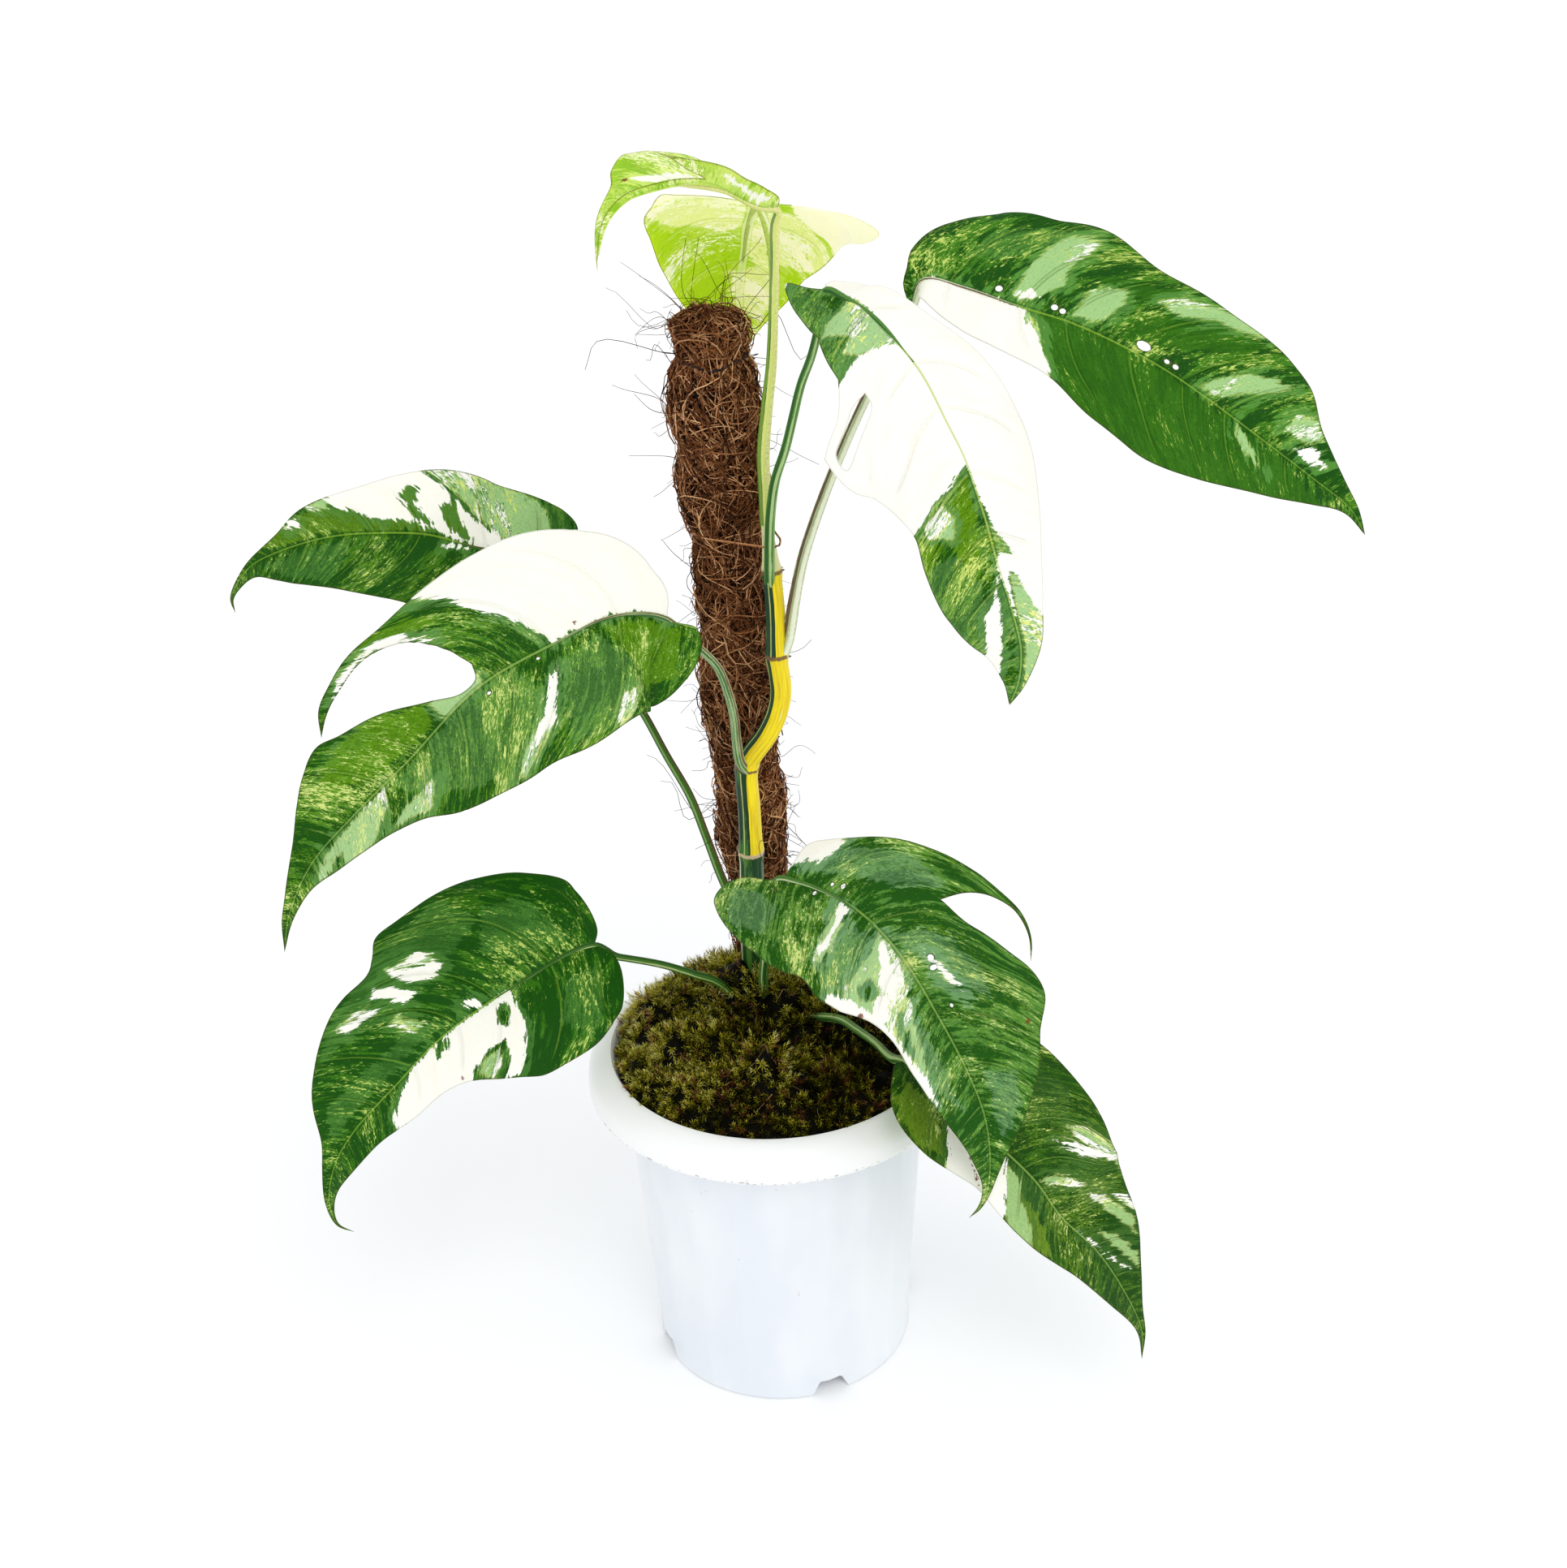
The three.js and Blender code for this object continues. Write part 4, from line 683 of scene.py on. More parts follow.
                 [(69, 2), (72, 7), (77, 12), (84, 16), (79, 9), (74, 4)],
                 [(90, 14), (97, 17.5), (110, 19), (114, 16.5), (104, 14.5)],
                 [(103, 6), (112, 10), (122, 12), (127, 10), (116, 7.5)]],
        "haze": [[(54, -0.6), (57, -5), (63, -9), (72, -12), (80, -10), (82, -6), (76, -0.6)],
                 [(44, 8), (56, 16), (62, 27), (56, 36), (44, 34), (34, 24), (34, 14)],
                 [(68, 4), (80, 8), (94, 15), (104, 21), (92, 27), (80, 28), (73, 18)]],
        "lime": [[(4, -6), (8, -16), (14, -22), (24, -24), (32, -20), (26, -12), (18, -7)],
                 [(56, -6), (60, -12), (64, -17), (68, -23), (80, -21), (92, -15), (84, -9), (72, -9)]],
        "spots": [(41, -13, 0.9), (43, -14.5, 0.7), (45, -16, 0.8), (47, -17.6, 1.0), (49, -19.4, 0.6)],
    },
]


class Bend:
    """The leaf's bend, the same as the solid's: its midrib, faces, folds, curls and waves."""

    def __init__(self, leaf):
        self.row, self.length = evenly(leaf["midrib"], MIDRIB_STEP)
        self.stations = np.linspace(0, self.length, len(self.row))
        self.forward = unit(np.gradient(self.row, axis=0))
        faces = np.array(leaf["face"], float)
        at = np.linspace(0, len(faces) - 1, len(self.row))
        up = np.stack([np.interp(at, range(len(faces)), faces[:, k]) for k in range(3)], 1)
        self.up = unit(up - self.forward * np.sum(up * self.forward, 1, keepdims=True))
        self.fold = np.radians(leaf["fold"])
        self.curl = np.radians(leaf["curl"]) / CURL_SPAN

    def at(self, rows, distance):
        return np.stack([np.interp(distance, self.stations, rows[:, k]) for k in range(3)], -1)

    def frame(self, distance):
        """The midrib's place there, which runs on straight past its ends, and the ways up and left."""
        distance = np.asarray(distance, float)
        forward = unit(self.at(self.forward, distance))
        past = (distance - np.clip(distance, 0, self.length))[..., None]
        up = unit(self.at(self.up, distance))
        return self.at(self.row, distance) + forward * past, up, np.cross(up, forward)

    def point(self, distance, across):
        place, up, side = self.frame(distance)
        half = (np.asarray(across) < 0).astype(int)
        reach = np.abs(across)
        fold, curl = self.fold[half], self.curl[half]
        curl = np.where(np.abs(curl) < STRAIGHT, STRAIGHT, curl)
        out = (np.sin(fold + curl * reach) - np.sin(fold)) / curl
        lift = (np.cos(fold) - np.cos(fold + curl * reach)) / curl
        wave = np.sin(FULL_TURN * (distance - reach * WAVE_SLANT) / WAVE_PITCH)
        lift = lift + WAVE * (reach / CURL_SPAN) ** WAVE_GROWTH * wave
        return place + side * (np.sign(across) * out)[..., None] + up * lift[..., None]

    def normal(self, distance, across):
        h = NORMAL_REACH
        along = self.point(distance + h, across) - self.point(distance - h, across)
        sideways = self.point(distance, across + h) - self.point(distance, across - h)
        return unit(np.cross(along, sideways))


def half_outline(runs, length):
    """One half's outline from base to tip, its runs drawn as curves that meet at corners."""
    corners = [(0, 0)] + [run[-1] for run in runs[:-1]]
    outline = []
    for i, (corner, run) in enumerate(zip(corners, runs)):
        places = [corner, *run] + ([(length, 0)] if i == len(runs) - 1 else [])
        outline.append(evenly(places, GRAIN)[0][:-1])
    return np.vstack(outline)


def inside(loop, points):
    x, y = points[:, 0:1], points[:, 1:2]
    a, b = np.asarray(loop, float), np.roll(np.asarray(loop, float), -1, 0)
    crosses = (a[:, 1] > y) != (b[:, 1] > y)
    rise = np.where(b[:, 1] == a[:, 1], 1e-9, b[:, 1] - a[:, 1])
    return (crosses & (x < a[:, 0] + (b[:, 0] - a[:, 0]) * (y - a[:, 1]) / rise)).sum(1) % 2 == 1


def within(loops, points):
    """Which points lie in the first loop and in none of the others, the holes in it."""
    kept = inside(loops[0], points)
    for hole in loops[1:]:
        kept &= ~inside(hole, points)
    return kept


def depth_in(loop, points):
    """How deep each flat point lies in the loop, in mm, and below 0 how far outside."""
    a = np.asarray(loop, float)
    b = np.roll(a, -1, 0)
    edge, to = b - a, points[:, None] - a
    t = np.clip((to * edge).sum(2) / np.maximum((edge ** 2).sum(1), 1e-9), 0, 1)
    gap = np.sqrt(((to - edge * t[..., None]) ** 2).sum(2)).min(1)
    return np.where(inside(loop, points), gap, -gap)


def deepest(loops, points):
    """How deep each flat point lies in the one of the loops that holds it best."""
    if not loops:
        return np.full(len(points), NOWHERE)
    return np.max([depth_in(loop, points) for loop in loops], 0)


def in_chunks(measure, points):
    """The measure of many points, taken a part at a time to spare memory."""
    return np.concatenate([measure(some) for some in np.array_split(points, CHUNKS)])


def oval(hole):
    x, y, rx, ry = hole
    turn = turns_of(HOLE_SIDES)
    return np.stack([x + rx * np.cos(turn), y + ry * np.sin(turn)], 1)


def flat_blade(leaf, length):
    """The blade's flat points and triangles, and each point's gap to its margin."""
    right = half_outline(leaf["right"], length)
    left = half_outline(leaf["left"], length)
    outline = np.vstack([right, [(length, 0)], left[1:][::-1]])
    slots = [evenly([*slot, slot[0]], GRAIN)[0][:-1] for slot in leaf.get("slots", [])]
    loops = [outline, *slots, *[oval(hole) for hole in leaf.get("holes", [])]]
    edge_points = np.vstack(loops)
    columns = np.arange(outline[:, 0].min(), length, GRAIN)
    heights = FIRST_ROW + np.arange(1, MOST_ROWS) * GRAIN * ROW_PITCH
    grid = [np.stack([columns + (i % 2) * GRAIN / 2, np.full(len(columns), side * y)], 1)
            for i, y in enumerate(heights) for side in (-1, 1)]
    spine = [np.stack([columns, np.full(len(columns), y)], 1) for y in SPINE_ROWS]
    inner = np.vstack(grid + spine)
    inner = inner[within(loops, inner)]
    gaps = in_chunks(lambda some: np.sqrt(((some[:, None] - edge_points) ** 2).sum(2)).min(1), inner)
    points = np.vstack([edge_points, inner[gaps > GRAIN * CLOSEST]])
    edges, first = [], 0
    for loop in loops:
        edges += [(first + i, first + (i + 1) % len(loop)) for i in range(len(loop))]
        first += len(loop)
    made = delaunay_2d_cdt([Vector(p) for p in points.tolist()], edges, [], 0, 1e-5)
    points, triangles = np.array([tuple(p) for p in made[0]]), np.array(made[2])
    triangles = triangles[within(loops, points[triangles].mean(1))]
    used, back = np.unique(triangles, return_inverse=True)
    points, triangles = points[used], back.reshape(triangles.shape)
    margin = in_chunks(lambda some: np.min([np.abs(depth_in(loop, some)) for loop in loops], 0), points)
    return points, triangles, margin


def border_edges(triangles):
    """The edges that belong to one triangle only, in that triangle's direction."""
    edges = np.vstack([triangles[:, [0, 1]], triangles[:, [1, 2]], triangles[:, [2, 0]]])
    known = {tuple(e) for e in edges.tolist()}
    return [e for e in edges.tolist() if (e[1], e[0]) not in known]


def vein_place(points, length):
    """Where each flat point's side vein leaves the midrib, in mm: veins start steep and bend to the tip."""
    a, w = points[:, 0], np.abs(points[:, 1])
    slant = 0.2 + np.clip((a + 15) / 95, 0, 1) ** 1.2 * (170 / max(length, 120))
    return a - (0.32 * w + 0.015 * w ** 2) * slant


def blade(leaf, bend):
    """The blade's mesh: two faces puffed between sunken side veins, a ribbed midrib and thin margins."""
    flat, triangles, margin = flat_blade(leaf, bend.length)
    a, w = flat[:, 0], flat[:, 1]
    vein = vein_place(flat, bend.length)
    left = np.clip(1 - a / bend.length, 0, 1)
    phase = vein / VEIN_PITCH + VEIN_DRIFT * np.sin(vein * VEIN_WANDER)
    puff = np.abs(np.sin(math.pi * phase)) ** 0.8 - 0.6
    ripple = np.sin(FULL_TURN * vein / RIPPLE_PITCH + 0.09 * w)
    quilt = (PUFF * puff + RIPPLE * ripple) * smooth(np.abs(w), 1, 9) * smooth(margin, 0, 7)
    thick = BLADE / 2 * (RIM_SHARE + (1 - RIM_SHARE) * smooth(margin, 0, RIM_SPAN))
    groove = GROOVE_DEPTH * (0.3 + left) * bell(w, MIDRIB_GROOVE) * smooth(a, -2, 6)
    rib = (0.25 + 0.9 * left) * bell(w, 0.8 + 0.7 * left) * smooth(margin, 0, 2)
    place, normal = bend.point(a, w), bend.normal(a, w)
    top = place + normal * (thick + quilt - groove)[:, None]
    under = place - normal * (thick - quilt + rib)[:, None]
    count = len(flat)
    faces = triangles.tolist()
    faces += (triangles[:, ::-1] + count).tolist()
    for i, j in border_edges(triangles):
        faces += [(j, i, i + count), (j, i + count, j + count)]
    island = -deepest(leaf.get("islands"), flat)
    white = np.minimum(deepest(leaf.get("white"), flat), -deepest(leaf.get("green"), flat))
    sage, lime, haze = (deepest(leaf.get(tone), flat) for tone in ("sage", "lime", "haze"))
    zones = np.stack([np.minimum(white, island), np.minimum(sage, island), lime], 1)
    spots = np.max([r - np.hypot(a - x, w - y) for x, y, r in leaf.get("spots") or [(0, 0, NOWHERE)]], 0)
    where = np.stack([vein, w, a], 1)
    marks = np.stack([margin, spots, haze], 1)
    attributes = {
        "leaf_place": np.vstack([where, where]), "leaf_zones": np.vstack([zones, zones]),
        "leaf_marks": np.vstack([marks, marks]), "leaf_under": np.repeat([0.0, 1.0], count),
    }
    return np.vstack([top, under]), faces, attributes


# The greens of each kind of leaf, how far its underside pales, the noise levels over which its mid green and
# its flecks show (a lower level gives more of them), how strong the veil round the flecks is, how far they
# thin out where it is lime, how mottled its sage is, how ragged its patches are, the half width of its midrib
# in mm, how much light soaks into it, and the strength of a painted glow that stands for light shining
# through it
GREEN = {
    "deep": (16, 74, 0), "mid": (52, 110, 10), "haze": (76, 130, 52), "veil": (122, 166, 66),
    "fleck": (204, 220, 116), "sage": (150, 190, 122), "white": (251, 249, 239), "lime": (46, 106, 0),
    "rib": (132, 172, 52), "pale": 0.3, "mids": 0.525, "flecks": 0.614, "veils": 0.6, "calm": 0.035,
    "mottle": 0, "ragged": 1, "midrib": 0.5, "glow": 0.05, "lit": 0,
}
MARBLED = {
    **GREEN, "deep": (20, 76, 0), "mid": (64, 120, 30), "haze": (96, 146, 74), "veil": (138, 178, 78),
    "fleck": (218, 228, 136), "sage": (164, 200, 136), "lime": (96, 146, 0), "rib": (140, 176, 80),
    "mids": 0.5, "flecks": 0.594, "veils": 0.65, "calm": 0, "mottle": 0.01,
}
LEAF_LOOKS = {
    "green": GREEN,
    "marbled": MARBLED,
    "halved": {
        **MARBLED, "deep": (18, 76, 0), "mid": (60, 118, 20), "haze": (94, 144, 76), "veil": (144, 182, 80),
        "fleck": (226, 234, 128), "sage": (164, 202, 138), "lime": (104, 152, 0), "rib": (176, 196, 84),
        "pale": 0.2, "mids": 0.52, "flecks": 0.588, "ragged": 0.45,
    },
    "young": {
        "deep": (165, 203, 23), "mid": (184, 212, 58), "haze": (188, 212, 88), "veil": (216, 232, 138),
        "fleck": (254, 254, 222), "sage": (222, 232, 150), "white": (255, 250, 206), "lime": (140, 182, 0),
        "rib": (222, 232, 164), "pale": 0, "mids": 0.52, "flecks": 0.592, "veils": 0.6, "calm": 0.1,
        "mottle": 0.035, "ragged": 1, "midrib": 2, "glow": 0.6, "lit": 0.19,
    },
    "crown": {
        "deep": (140, 186, 40), "mid": (190, 220, 92), "haze": (208, 230, 124), "veil": (222, 238, 144),
        "fleck": (250, 253, 206), "sage": (226, 240, 156), "white": (255, 253, 230), "lime": (100, 156, 14),
        "rib": (196, 216, 100), "pale": 0, "mids": 0.47, "flecks": 0.58, "veils": 0.6, "calm": 0,
        "mottle": 0.02, "ragged": 1, "midrib": 0.7, "glow": 0.6, "lit": 0.02,
    },
    "patched": {
        **GREEN, "mid": (66, 128, 24), "haze": (92, 150, 64), "veil": (140, 180, 66), "sage": (162, 202, 132),
        "mids": 0.5, "flecks": 0.587, "calm": 0.08, "mottle": -0.02,
    },
    "limed": {
        **GREEN, "veil": (110, 154, 74), "sage": (158, 198, 132), "lime": (98, 140, 10), "flecks": 0.621,
        "calm": -0.02, "mottle": 0.04,
    },
    "flecked": {
        **MARBLED, "deep": (24, 80, 6), "mid": (84, 136, 54), "haze": (118, 162, 112),
        "veil": (150, 188, 108), "lime": (100, 146, 24), "veils": 0.5,
    },
    "olive": {
        **MARBLED, "deep": (22, 70, 0), "mid": (44, 94, 4), "haze": (62, 106, 38), "veil": (100, 138, 52),
        "sage": (156, 192, 122), "lime": (116, 150, 34), "flecks": 0.622,
    },
}
SOFT = 0.02
SHADED_WHITE = (250, 244, 224)
RIM = (50, 56, 14)
SCAR = (116, 56, 26)
UNDERSIDE = (168, 196, 120)


def leaf_material(name, look, seed, length):
    """Green tissue marbled along the side veins: ragged patches, small flecks, a pale midrib and scars, with
    painted sheen and shade at the vein and midrib grooves and a painted glow.
    """
    s = Shader(name, roughness=0.4, specular=0.1)
    s.soak(look["glow"], depth=0.0025)
    shift = (seed * 13.7, seed * 5.1, seed * 3.3)
    other = (seed * 7.9 + 40, seed * 2.3, seed)
    place = s.attribute("leaf_place")
    vein, across, along = s.parts(place)
    white_in, sage_in, lime_in = s.parts(s.attribute("leaf_zones"))
    margin, spot, haze_in = s.parts(s.attribute("leaf_marks"))
    under = s.attribute("leaf_under", "Fac")

    # Noise that runs along the side veins, from the finest to the broadest
    thin = s.noise(place, (1.8, 0.75, 0), other, 3, 0.65, 1.1)
    grain = s.noise(place, (1.7, 1.3, 0), shift, 2, 0.7, 0.3)
    fine = s.noise(place, (1.2, 0.46, 0), shift, 3, 0.65, 1.1)
    streaks = s.noise(place, (0.5, 0.1, 0), shift, 5, 0.62, 0.5)
    blots = s.noise(place, (0.14, 0.055, 0), other, 5, 0.62, 0.4)
    crowd = s.minus(s.noise(place, (0.07, 0.035, 0), shift, 2, 0.5), 0.5)
    wobble = s.stirred(s.times(s.minus(fine, 0.5), 6), streaks, 13 * look["ragged"])
    sway = s.times(s.minus(blots, 0.5), 16 * look["ragged"])

    def level(a, share_a, b, share_b, crowding):
        """Two noises mixed, raised where the flecks crowd together."""
        return s.times_plus(crowd, crowding, s.times_plus(b, share_b, s.times(a, share_a)))

    def over_level(value, low):
        return s.step(value, low, low + SOFT)

    # The green: mid patches in the deep green, haze, lime and flecks over them
    mids, flecks, mottle = look["mids"], look["flecks"], look["mottle"]
    middle = s.step(level(blots, 0.45, streaks, 0.55, 0.25), mids - 0.02, mids + 0.02)
    green = s.mix(middle, look["deep"], look["mid"])
    haze = s.step(s.times_plus(wobble, 0.8, haze_in), -0.4, 0.4)
    dapple = s.times_plus(s.step(level(streaks, 0.6, thin, 0.4, 0.3), 0.45, 0.54), 0.52, 0.38)
    green = s.over(green, look["haze"], haze, dapple)
    lime = s.step(s.stirred(lime_in, streaks, 9), -0.6, 0.6)
    green = s.over(green, look["lime"], lime, 0.7)
    green = s.over(green, look["deep"], s.step(level(grain, 0.5, thin, 0.5, 0), 0.52, 0.42), 0.5)
    yellow = s.step(level(thin, 0.7, streaks, 0.3, 0.3), flecks - 0.075, flecks - 0.045)
    green = s.over(green, look["lime"], yellow, 0.65)
    speckle = s.times_plus(lime, -look["calm"], level(fine, 0.68, streaks, 0.32, 0.45))
    green = s.over(green, look["veil"], over_level(speckle, flecks - 0.05), look["veils"])
    green = s.over(green, look["fleck"], over_level(speckle, flecks), 0.85)

    # Sage and white patches with ragged edges
    fringe = s.plus(s.minus(white_in, 1.6), sway)
    sage_at = s.times_plus(wobble, 0.5, s.math("MAXIMUM", sage_in, fringe))
    mid_at = s.plus(s.math("MAXIMUM", sage_in, white_in), s.plus(sway, wobble))
    green = s.over(green, look["haze"], s.step(mid_at, -2.7, -2.3), 0.6)
    darker = over_level(level(thin, 0.5, streaks, 0.5, 0.6), 0.57 - mottle)
    sage = s.mix(darker, look["sage"], look["haze"])
    lighter = over_level(level(fine, 0.6, blots, 0.4, 0.5), 0.55 - mottle)
    sage = s.mix(lighter, sage, look["fleck"])
    palest = s.step(level(fine, 0.5, streaks, 0.5, 0.9), 0.595 - mottle, 0.61 - mottle)
    sage = s.mix(palest, sage, look["white"])
    sage = s.over(sage, look["haze"], s.step(grain, 0.5, 0.36), 0.3)
    patched = s.mix(s.step(sage_at, -0.14, 0.14), green, sage)
    patched = s.over(patched, look["fleck"], s.near(sage_at, -0.25, 0.4, 0.15), 0.3)
    white = s.step(s.times_plus(wobble, 0.55, white_in), -0.12, 0.12)
    colour = s.mix(white, patched, s.over(look["white"], SHADED_WHITE, s.step(blots, 0.45, 0.7), 0.4))

    # Side veins with a painted sheen and shade in their grooves, the midrib with painted shadow beside it,
    # rim and scars
    aside = s.math("ABSOLUTE", across)
    green_only = s.minus(1, white)
    drift = s.math("SINE", s.times(vein, VEIN_WANDER))
    phase = s.times_plus(drift, VEIN_DRIFT, s.math("DIVIDE", vein, VEIN_PITCH))
    gap = s.times(s.math("PINGPONG", phase, 0.5), VEIN_PITCH)
    reach = s.times(s.step(margin, 2, 9), s.step(aside, 0.4, 1.6))
    # Each side vein gets a pale line. It is partly the vein's own paler green and partly a painted sheen
    # along its crease.
    line = s.times(s.step(gap, 0.4, 0.1), reach)
    colour = s.over(colour, look["rib"], line, s.times_plus(white, -0.2, 0.32))
    # Beside each vein the green is darkened: painted shade in the vein's groove.
    painted_vein_shade = s.times(s.near(gap, 0.8, 0.4, 0.1), reach)
    colour = s.over(colour, look["deep"], s.times(painted_vein_shade, green_only), 0.35)
    past_rib = s.minus(aside, s.times_plus(along, -0.6 * look["midrib"] / length, look["midrib"]))
    # Just beside the midrib the green is darkened: painted shadow in the midrib's groove.
    beside = s.near(past_rib, 0.35, 0.35, 0.1)
    colour = s.over(colour, look["deep"], s.times(beside, green_only), 0.5)
    fading = s.times_plus(along, -0.45 / length, 0.85)
    colour = s.over(colour, look["rib"], s.step(past_rib, 0.1, -0.1), fading)
    colour = s.over(colour, RIM, s.step(margin, 0.6, 0.2), s.times_plus(white, -0.4, 0.65))
    colour = s.over(colour, SCAR, s.step(s.stirred(spot, grain, 2), -0.1, 0.2), 0.92)
    colour = s.over(colour, UNDERSIDE, under, look["pale"])
    sunk = s.times(s.step(gap, 1.5, 0), reach)
    relief = s.times_plus(fine, 0.35, s.times_plus(sunk, -0.8, s.times(grain, 0.3)))
    # A painted glow: the tissue's colour is given off as light, standing for light shining through the thin
    # leaf.
    s.set("Emission Color", colour)
    s.set("Emission Strength", look["lit"])
    roughness = s.times_plus(under, 0.2, s.times_plus(grain, 0.2, 0.3))
    return s.finish(colour, s.bump(relief, 0.0006, 0.9), roughness)


# Each stalk: the way its turn starts from, the turn its groove is at, its main colour, and the bands along it
# as (colour, turn, half width)
STALK_LOOKS = {
    "leaf_1_top": ((0, 1, 0), 0.34, (232, 232, 150), [
        ((104, 148, 40), 0.29, 0.1), ((52, 100, 30), 0.385, 0.018), ((214, 226, 120), 0.5, 0.05)]),
    "leaf_2_behind_pole": ((0, 1, 0), 0.3, (196, 216, 96), [
        ((236, 238, 190), 0.6, 0.08), ((120, 160, 50), 0.36, 0.03)]),
    "leaf_3_high_right": ((0, 1, 0), 0.36, (208, 218, 178), [
        ((92, 60, 46), 0.31, 0.05), ((168, 184, 138), 0.43, 0.03), ((238, 240, 214), 0.55, 0.06)]),
    "leaf_4_half_white": ((0, 1, 0), 0.4, (78, 132, 48), [
        ((178, 204, 138), 0.5, 0.045), ((34, 84, 28), 0.35, 0.05), ((134, 172, 98), 0.66, 0.04)]),
    "leaf_5_left_rear": ((0, 1, 0), 0.62, (62, 112, 30), [
        ((96, 66, 40), 0.7, 0.035), ((128, 164, 84), 0.47, 0.04), ((34, 74, 18), 0.36, 0.05)]),
    "leaf_6_left_split": ((0, 1, 0), 0.62, (168, 192, 136), [
        ((44, 98, 34), 0.56, 0.045), ((56, 110, 44), 0.43, 0.018), ((110, 70, 52), 0.69, 0.035),
        ((84, 130, 66), 0.34, 0.02)]),
    "leaf_7_low_left": ((0, 0, 1), 0.02, (66, 118, 32), [
        ((150, 184, 94), 0.94, 0.03), ((34, 78, 16), 0.8, 0.05), ((190, 206, 140), 0.62, 0.03)]),
    "leaf_8_low_right_split": ((0, 1, 0), 0.42, (76, 124, 46), [
        ((192, 206, 160), 0.42, 0.035), ((42, 84, 26), 0.55, 0.05)]),
    "leaf_9_low_right_rear": ((0, 0, 1), 0.06, (86, 134, 54), [
        ((184, 204, 138), 0.1, 0.06), ((206, 214, 168), 0.41, 0.035), ((44, 88, 26), 0.26, 0.04)]),
}
STALK_SIDES = 20
STALK_STEP = 1.6
KNEE_AT = 0.93
KNEE_SWELL = 0.3
SHEATH_AT, SHEATH_SPAN = 0.1, 0.25
GROOVE_WIDTH = 0.45
LIP_AT, LIP_WIDTH = 0.85, 0.25
RIB_REACHES = (0, 9, 24, 44)
RIB_DEPTH = 0.5
RIB_END = 0.45


def petiole(leaf, bend):
    """The leaf's stalk and the thick start of its midrib, with a lipped groove, deepest in its sheath."""
    starts = [round(reach / MIDRIB_STEP) for reach in RIB_REACHES]
    ribs = [tuple(bend.row[i] - bend.up[i] * RIB_DEPTH) for i in starts]
    places = [*leaf["stalk"], *ribs]
    _, whole = evenly(places, 2)
    _, stalk_length = evenly([*leaf["stalk"], ribs[0]], 2)
    share = stalk_length / whole
    facing, groove_at = STALK_LOOKS[leaf["name"]][:2]
    girth = table(leaf["girth"])

    def radius(t):
        if t < share:
            return np.interp(t / share, *girth) + KNEE_SWELL * bell(t - share * KNEE_AT, share * 0.045)
        return np.interp(t, [share, 1], [np.interp(1, *girth), RIB_END])

    def section(t, turn):
        sheath = bell(t - SHEATH_AT, SHEATH_SPAN)
        gap = np.abs((turn / FULL_TURN - groove_at + 0.5) % 1 - 0.5) * FULL_TURN
        groove = 1 - (0.24 + 0.16 * sheath) * bell(gap, GROOVE_WIDTH)
        lips = 1 + (0.12 + 0.1 * sheath) * bell(gap - LIP_AT, LIP_WIDTH)
        return np.where(t < share, groove * lips, 1)

    return tube(places, radius, STALK_SIDES, STALK_STEP, facing, section)


def stalk_material(name, seed):
    """The stalk's own green with ragged bands of other greens along it, and fine ridges."""
    _, _, main, bands = STALK_LOOKS[name]
    s = Shader(name + "_stalk", roughness=0.4, specular=0.25)
    s.soak(weight=0.06, depth=0.0015)
    place = s.attribute("stalk_place")
    turn = s.parts(place)[2]
    ragged = s.noise(place, (0.045, 0, 3), (seed * 3.1, 0, seed), 4, 0.65)
    ridges = s.noise(place, (0.02, 0, 30), (seed, 0, seed * 2.3), 2, 0.6)
    specks = s.noise(place, (0.9, 0, 12), (seed, 0, seed), 3, 0.6)
    colour = s.mix(s.step(specks, 0.4, 0.7), main, [c * 0.86 for c in main])
    for shade, centre, half in bands:
        gap = s.stirred(s.math("ABSOLUTE", s.minus(turn, centre)), ragged, 0.16)
        colour = s.over(colour, shade, s.step(gap, half + 0.008, half - 0.008), 0.92)
    return s.finish(colour, s.bump(ridges, 0.00025, 0.8))


# Stem

STEM = [(-9, 22, 104), (-8, 21, 130), (-7, 20, 151), (-7, 18, 181), (-6, 16, 217), (-6, 15, 239),
        (-6, 14, 260), (-3, 13, 266), (2, 13, 273), (6, 14, 281), (8, 15, 290), (7, 15, 305), (7, 16, 324),
        (6, 17, 343), (5, 18, 357)]
STEM_STEP = 0.9
STEM_NODES = (0.31, 0.455, 0.605, 0.8, 0.93)
STEM_GIRTH = table([(0, 3.2), (0.12, 4.6), (0.42, 4.7), (0.5, 4.4), (0.62, 4.2), (0.8, 3.9), (0.93, 3.4),
                    (1, 1.9)])
STEM_SIDES = 48
NODE_SWELL = 0.55
NUBS_PER_NODE = 3
NUB_SIDES = 9
NUB_STEP = 0.6


def stem_radius(t):
    return np.interp(t, *STEM_GIRTH) + sum(NODE_SWELL * bell(t - node, 0.012) for node in STEM_NODES)


